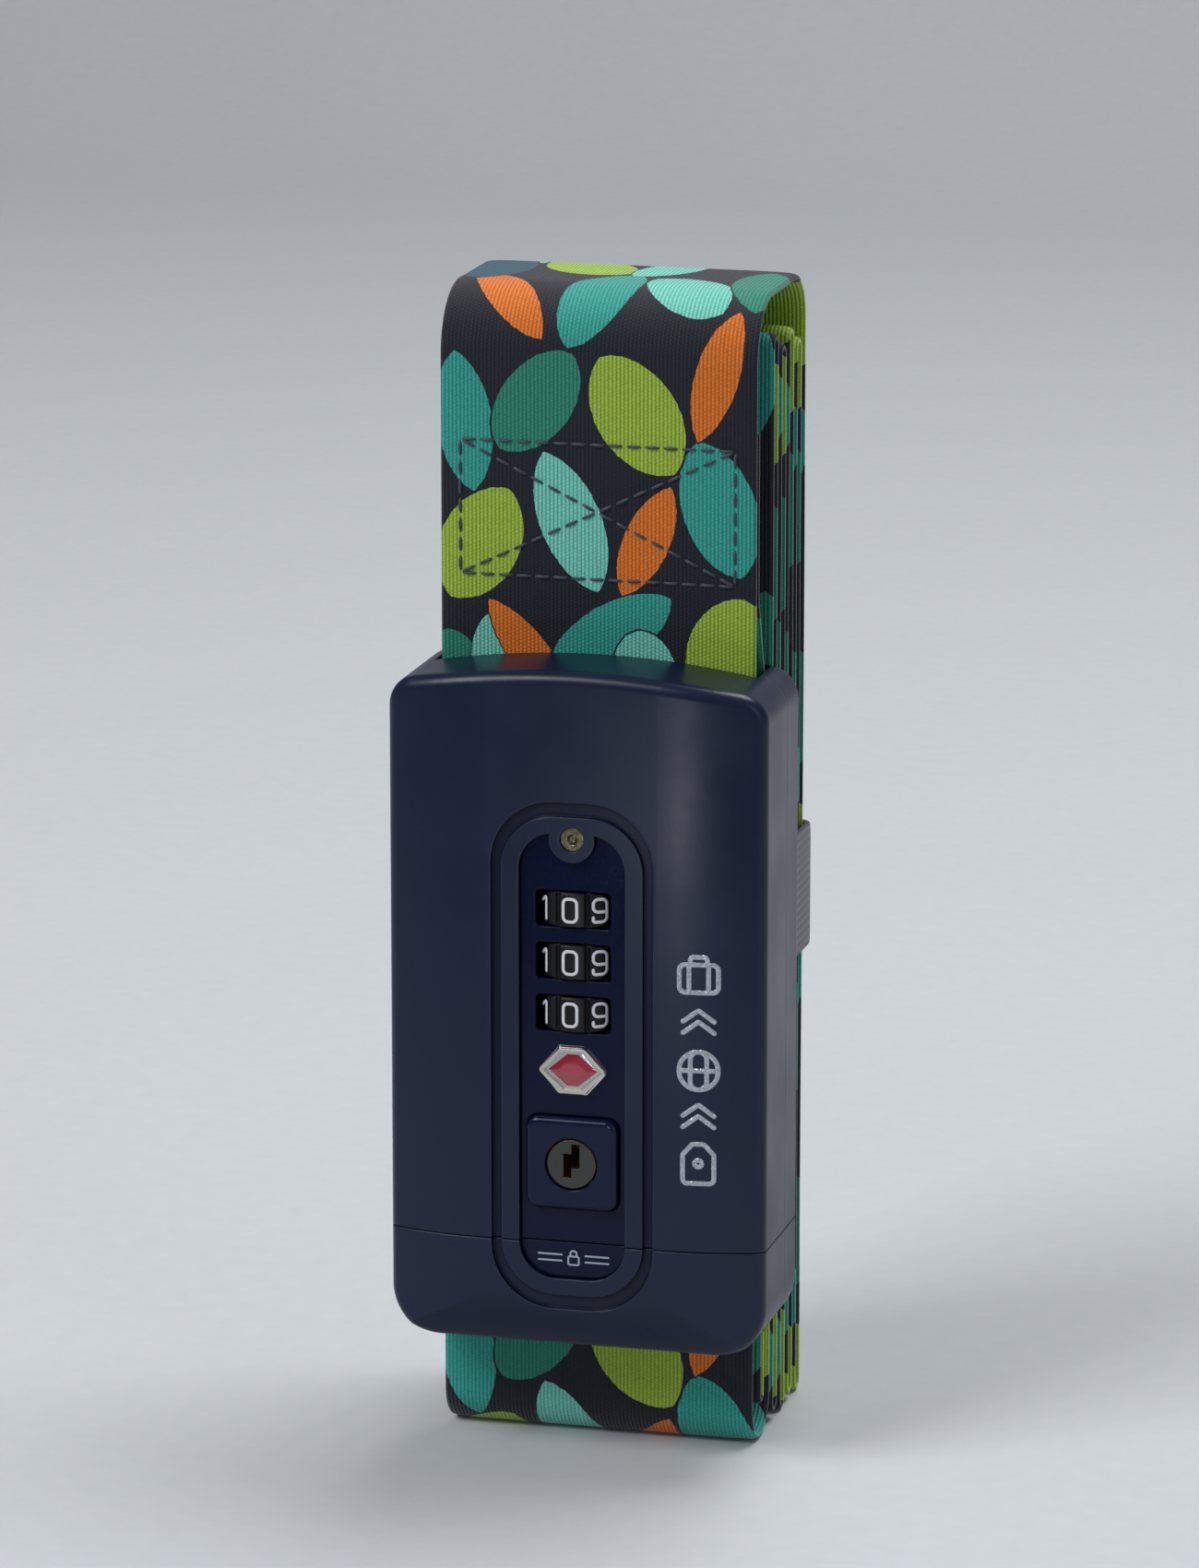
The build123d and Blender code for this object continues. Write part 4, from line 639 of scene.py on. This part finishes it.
def makeStitches(frontY, tailTop):
    # box and cross through both plies above the bar: each stitch is a capsule whose ends dip into the webbing,
    # lift = radius * sin(pi t) along it
    spec = stitchWork
    half = hankBox[1].x - spec["margin"]
    high, low = tailTop - 2.5 * mm, tailTop - 2.5 * mm - spec["height"]
    lines = [((-half, low), (half, low)), ((half, low), (half, high)), ((half, high), (-half, high)),
             ((-half, high), (-half, low)), ((-half, low), (half, high)), ((-half, high), (half, low))]
    starts, ways = [], []
    for start, end in lines:
        start, end = np.array(start), np.array(end)
        length = np.linalg.norm(end - start)
        count = round(length / spec["pitch"])
        share = (np.arange(count) + 0.5) / count
        starts.append(start + share[:, None] * (end - start))
        ways.append(np.repeat(((end - start) / length)[None], count, 0))
    centres, ways = np.concatenate(starts), np.concatenate(ways)
    t = np.array([0, 0.08, 0.3, 0.7, 0.92, 1])
    size = np.array([0.35, 0.8, 1, 1, 0.8, 0.35])
    angle = 2 * np.pi * np.arange(6) / 6
    alongLine = (t - 0.5)[None, :, None] * spec["length"]
    sideways = spec["radius"] * size[None, :, None] * np.cos(angle)
    lift = spec["radius"] * (size[None, :, None] * np.sin(angle) + 0.9 * np.sin(np.pi * t)[None, :, None] - 0.2)
    wayX, wayZ = ways[:, 0, None, None], ways[:, 1, None, None]
    x = centres[:, 0, None, None] + wayX * alongLine - wayZ * sideways
    z = centres[:, 1, None, None] + wayZ * alongLine + wayX * sideways
    y = np.broadcast_to(frontY - lift, x.shape)
    points = np.stack([x, y, z], -1).reshape(-1, 3)
    one = quads(6, 6, closeColumns=True)[:, ::-1]
    ring = np.arange(6)
    base = 36 * np.arange(len(centres))[:, None, None]
    faces = (one[None] + base).reshape(-1, 4).tolist()
    faces += (ring[::-1] + base[:, 0]).tolist() + (ring + 30 + base[:, 0]).tolist()
    piece = newPiece("boxStitches", points, faces, finishes["thread"], 60)
    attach(piece, "buckle_body")


frontPlyY, tailTop = makeWebbing()
makeKeeper()
makeStitches(frontPlyY, tailTop)
print("webbing, keeper and stitches made")

digitShape = {"width": 2.2, "height": 3.6, "stroke": 0.52, "lift": 0.05, "radius": 0.8, "digits": 10, "shift": -0.35}
# each digit's lines on a cell from (0, 0) to (1, 1); a line is its corners and whether it closes
digitLines = {
    0: [([(0, 0), (1, 0), (1, 1), (0, 1)], True)],
    1: [([(0.28, 0.8), (0.66, 1), (0.66, 0)], False)],
    2: [([(0, 0.76), (0, 1), (1, 1), (1, 0.6), (0, 0), (1, 0)], False)],
    3: [([(0, 1), (1, 1), (0.45, 0.58), (1, 0.58), (1, 0), (0, 0), (0, 0.2)], False)],
    4: [([(0.74, 0), (0.74, 1), (0, 0.28), (1, 0.28)], False)],
    5: [([(0.95, 1), (0.08, 1), (0.05, 0.56), (1, 0.56), (1, 0), (0, 0), (0, 0.2)], False)],
    6: [([(1, 0.8), (1, 1), (0, 1), (0, 0), (1, 0), (1, 0.56), (0, 0.56)], False)],
    7: [([(0, 1), (1, 1), (0.35, 0)], False)],
    8: [([(0, 0.52), (1, 0.52), (1, 1), (0, 1)], True), ([(0, 0), (1, 0), (1, 0.52), (0, 0.52)], True)],
    9: [([(0, 0.2), (0, 0), (1, 0), (1, 1), (0, 1), (0, 0.44), (1, 0.44)], False)],
}


def roundCorners(cells, width, height, radius, closed, sharp=0.12):
    # cell corners in millimetres, each corner's radius held under 0.48 of its shorter run
    spots = np.array(cells, float) * (width, height)
    runs = np.linalg.norm(np.roll(spots, -1, 0) - spots, axis=1)
    result = []
    for i in range(len(spots)):
        ends = (runs[i - 1], runs[i])
        before, after = spots[i] - spots[i - 1], spots[(i + 1) % len(spots)] - spots[i]
        turn = abs(math.atan2(before[0] * after[1] - before[1] * after[0], before @ after))
        limit = 0.48 * min(ends) / max(math.tan(turn / 2), 1e-3)
        result.append((*spots[i], min(radius if turn < 1.8 else sharp, limit)))
    return result


def makeDigits(number, box):
    # numbers wrapped round the wheel: an arc a from the front at radius R + h is the point R sin(a/R), -R cos(a/R)
    spec = digitShape
    centre = (box[0] + box[1]) / 2
    radius = (box[1].x - box[0].x) / 2
    lines = []
    for digit in range(spec["digits"]):
        middle = spec["shift"] - digit * 2 * math.pi * radius / spec["digits"] / mm
        for cells, closed in digitLines[digit]:
            corners = roundCorners(cells, spec["width"], spec["height"], spec["radius"], closed)
            lines.append(([((a + middle - spec["width"] / 2) * mm, (b - spec["height"] / 2) * mm, r * mm)
                           for a, b, r in corners], closed))

    def onWheel(a, b, h):
        return ((radius + h) * np.sin(a / radius), centre.y - (radius + h) * np.cos(a / radius), centre.z + b)

    piece = strokes(f"dialNumbers{number}", lines, spec["stroke"] * mm, spec["lift"] * mm, onWheel,
                    finishes["dialInk"])
    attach(piece, f"dial_{number}")


for number, wheelBox in enumerate(wheelBoxes, 1):
    makeDigits(number, wheelBox)
print("dial numbers made")

badge = {"shoulder": 3.4 * mm, "rim": 0.65 * mm, "spill": 0.45 * mm, "dome": 0.2 * mm}


def hexagon(grow, radius):
    # long hexagon with its points left and right, grown or drawn in from the silver frame's outside
    centre = (badgeBox[0] + badgeBox[1]) / 2
    halfX = (badgeBox[1].x - badgeBox[0].x) / 2 + 1.2 * grow
    halfZ = (badgeBox[1].z - badgeBox[0].z) / 2 + grow
    flat = halfX - badge["shoulder"]
    corners = [(-halfX, 0), (-flat, -halfZ), (flat, -halfZ), (halfX, 0), (flat, halfZ), (-flat, halfZ)]
    route, _ = roundedRoute([(x, z, radius) for x, z in corners], 0.5 * mm, 0.2 * mm, closed=True)
    return route, centre


def makeBadge():
    # gem: the outline drawn in by steps and raised, with flat faces; dome: depth = height * sqrt(1 - r^4)
    outline, centre = hexagon(-badge["rim"], 0.02 * mm)
    steps = [(1.0, -0.1 * mm), (1.0, 0.2 * mm), (0.5, 0.62 * mm), (0.46, 0.62 * mm)]
    points = np.array([
        np.stack([outline[:, 0] * s, np.full(len(outline), panelY - h), outline[:, 1] * s + centre.z], 1)
        for s, h in steps])
    count = len(outline)
    faces = quads(len(steps), count, closeColumns=True).tolist()
    ring = np.arange(count)
    faces += [ring.tolist(), (ring[::-1] + (len(steps) - 1) * count).tolist()]
    gem = newPiece("redGem", points, faces, finishes["gem"], 5)
    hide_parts("badge_gem")
    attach(gem, "buckle_body")

    outline, centre = hexagon(badge["spill"], 0.7 * mm)
    frameLift = panelY - badgeBox[0].y
    r = np.array([1.0, 1.0, 0.985, 0.95, 0.88, 0.75, 0.55, 0.3, 0.08])
    rise = np.sqrt(np.clip(1 - r ** 4, 0, 1))
    rise[0] = 0
    h = np.where(np.arange(len(r)) == 0, 0, 0.25 * frameLift + (0.75 * frameLift + badge["dome"]) * rise)
    points = np.stack([
        outline[None, :, 0] * r[:, None],
        np.broadcast_to((panelY - h)[:, None], (len(r), len(outline))),
        outline[None, :, 1] * r[:, None] + centre.z,
    ], -1)
    count = len(outline)
    faces = quads(len(r), count, closeColumns=True).tolist()
    ring = np.arange(count)
    faces += [ring.tolist(), (ring[::-1] + (len(r) - 1) * count).tolist()]
    dome = newPiece("badgeDome", points, faces, finishes["resin"], 40)
    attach(dome, "buckle_body")


makeBadge()

crown = {"flat": 13.5 * mm, "drop": 2.8 * mm}


def onFace(a, b, h):
    # the crowned face: flat to the crown's start, then an arc of one radius that meets the side at its drop
    run = halfBuckle - crown["flat"]
    radius = (run ** 2 + crown["drop"] ** 2) / (2 * crown["drop"])
    out = np.clip(np.abs(a) - crown["flat"], 0, None)
    lean = np.arcsin(np.clip(out / radius, 0, 0.99))
    depth = radius * (1 - np.cos(lean))
    return a + np.sign(a) * h * np.sin(lean), faceY + depth - h * np.cos(lean), b


def icon(parts, x, z, scale=1.0):
    # drawn lines in millimetres about a centre, to metres on the face
    return [([((x + a * scale) * mm, (z + b * scale) * mm, r * scale * mm) for a, b, r in corners], closed)
            for corners, closed in parts]


def circle(radius, squash=1.0):
    # a ring as a rounded rectangle whose corners' radius is half its side
    s = radius * squash
    return ([(-s, -radius, 0.98 * s), (s, -radius, 0.98 * s), (s, radius, 0.98 * s), (-s, radius, 0.98 * s)], True)


suitcase = [
    ([(-3, -2.4, 0.9), (3, -2.4, 0.9), (3, 2.0, 0.9), (-3, 2.0, 0.9)], True),
    ([(-1.3, 2.0, 0), (-1.3, 3.2, 0.5), (1.3, 3.2, 0.5), (1.3, 2.0, 0)], False),
    ([(-1.5, -2.4, 0), (-1.5, 2.0, 0)], False),
    ([(1.5, -2.4, 0), (1.5, 2.0, 0)], False),
]
chevrons = [([(-2.4, -1.6 + step, 0), (0, 0.2 + step, 0.2), (2.4, -1.6 + step, 0)], False) for step in (0, 1.8)]
globe = [circle(3.0), circle(3.0, 0.42), ([(-3, 0, 0), (3, 0, 0)], False)]
tag = [
    ([(-2.4, -3.2, 0.7), (2.4, -3.2, 0.7), (2.4, 1.4, 0.5), (0.9, 3.1, 0.5), (-0.9, 3.1, 0.5),
      (-2.4, 1.4, 0.5)], True),
    circle(0.55),
]
padlock = [
    ([(-0.85, -1.1, 0.25), (0.85, -1.1, 0.25), (0.85, 0.25, 0.25), (-0.85, 0.25, 0.25)], True),
    ([(-0.5, 0.25, 0), (-0.5, 1.15, 0.48), (0.5, 1.15, 0.48), (0.5, 0.25, 0)], False),
]
bars = [([(side * 1.9, level, 0), (side * 5.6, level, 0)], False) for side in (-1, 1) for level in (-0.55, 0.45)]


def makeMarks():
    bottom = buckleLow / mm
    lines = (icon(suitcase, 20, bottom + 61.4) + icon(chevrons, 20, bottom + 54.2) + icon(globe, 20, bottom + 46.6)
             + icon(chevrons, 20, bottom + 39.2) + icon(tag, 20, bottom + 31.8))
    ornament = strokes("flankOrnament", lines, 0.75 * mm, 0.06 * mm, onFace, finishes["silverInk"])
    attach(ornament, "buckle_body")

    def onPanel(a, b, h):
        return a, panelY - h, b

    mark = strokes("panelMark", icon(padlock + bars, 0, bottom + 14.9), 0.29 * mm, 0.04 * mm, onPanel,
                   finishes["paleInk"])
    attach(mark, "strap")


makeMarks()
print("badge and marks made")


def makeFloor():
    # pale studio sweep: flat to 0.5 m behind the strap, then a quarter circle up
    material, tree = newMaterial("paleStudioPaper")
    place = add(tree, "TexCoord")
    fibre = add(tree, "TexNoise", {"Vector": (place, "Object"), "Scale": 1 / (4 * mm), "Detail": 4.0})
    shade = add(tree, "Mix", {0: (fibre, "Fac"), 6: linear("#BBBFC3"), 7: linear("#C3C6CA")}, data_type="RGBA")
    finishMaterial(tree, {"Base Color": (shade, 2), "Roughness": 0.75, "Specular IOR Level": 0.2})
    bend, rise = 0.5, 3.0
    angle = np.linspace(0, np.pi / 2, 25)
    y = np.concatenate([[-0.3], 1.2 + bend * np.sin(angle), [1.2 + bend]])
    z = np.concatenate([[0], bend * (1 - np.cos(angle)), [rise]])
    x = np.array([-4.0, 4.0])
    points = np.stack([np.broadcast_to(x, (len(y), 2)), np.broadcast_to(y[:, None], (len(y), 2)),
                       np.broadcast_to(z[:, None], (len(y), 2))], -1)
    floor = newPiece("studioFloor", points, quads(len(y), 2)[:, ::-1].tolist(), material)


lights = {
    # name: (where, towards, size, watts, colour)
    "key": ((-0.9, -1.1, 1.5), (0, 0, 0.09), (0.9, 0.9), 26, "#FFFFFF"),
    "fill": ((1.5, -1.0, 0.7), (0, 0, 0.07), (0.8, 1.2), 3.5, "#F4F7FF"),
    "top": ((0.3, 0.5, 1.4), (0, 0, 0.12), (1.0, 0.6), 16, "#FFFFFF"),
    "glow": ((0.0, -0.185, 0.069), (0.014, -0.02, 0.107), (0.02, 0.02), 0.024, "#F2F5FF"),
}


def makeLights():
    for name, (where, towards, size, watts, colour) in lights.items():
        data = bpy.data.lights.new(name, "AREA")
        data.shape = "RECTANGLE"
        data.size, data.size_y = size
        data.energy = watts
        data.color = linear(colour)[:3]
        lamp = bpy.data.objects.new(name, data)
        lamp.location = where
        lamp.rotation_euler = (Vector(towards) - Vector(where)).to_track_quat("-Z", "Y").to_euler()
        scene.collection.objects.link(lamp)
    world = bpy.data.worlds.new("softStudio")
    world.use_nodes = True
    # pale where it is seen past the floor, dim as a light
    tree = world.node_tree
    seen = add(tree, "LightPath")
    strength = add(tree, "MapRange", {"Value": (seen, "Is Camera Ray"), 3: 0.22, 4: 0.8})
    sky = tree.nodes["Background"]
    sky.inputs["Color"].default_value = linear("#DDE3EA")
    tree.links.new(strength.outputs[0], sky.inputs["Strength"])
    scene.world = world


viewpoint = {
    "azimuth": 14.7, "elevation": 13.4,  # degrees round to the right, and above
    "distance": 1.157, "lens": 171.5, "aimHeight": 17.6 * mm,
    "aimRight": -0.0037, "aimDown": 0.0615,  # where the aimed point lies in the frame, as tangents
}


def makeCamera():
    spec = viewpoint
    az, el = math.radians(spec["azimuth"]), math.radians(spec["elevation"])
    ahead = Vector((-math.sin(az) * math.cos(el), math.cos(az) * math.cos(el), -math.sin(el)))
    right = Vector((math.cos(az), math.sin(az), 0))
    up = right.cross(ahead)
    aimed = Vector((0, faceY, buckleLow + spec["aimHeight"]))
    data = bpy.data.cameras.new("studioCamera")
    data.lens = spec["lens"]
    camera = bpy.data.objects.new("studioCamera", data)
    camera.location = aimed - spec["distance"] * (ahead + spec["aimRight"] * right - spec["aimDown"] * up)
    camera.rotation_euler = ahead.to_track_quat("-Z", "Y").to_euler()
    scene.collection.objects.link(camera)
    scene.camera = camera


makeFloor()
makeLights()
makeCamera()
print("floor, lights and camera made")
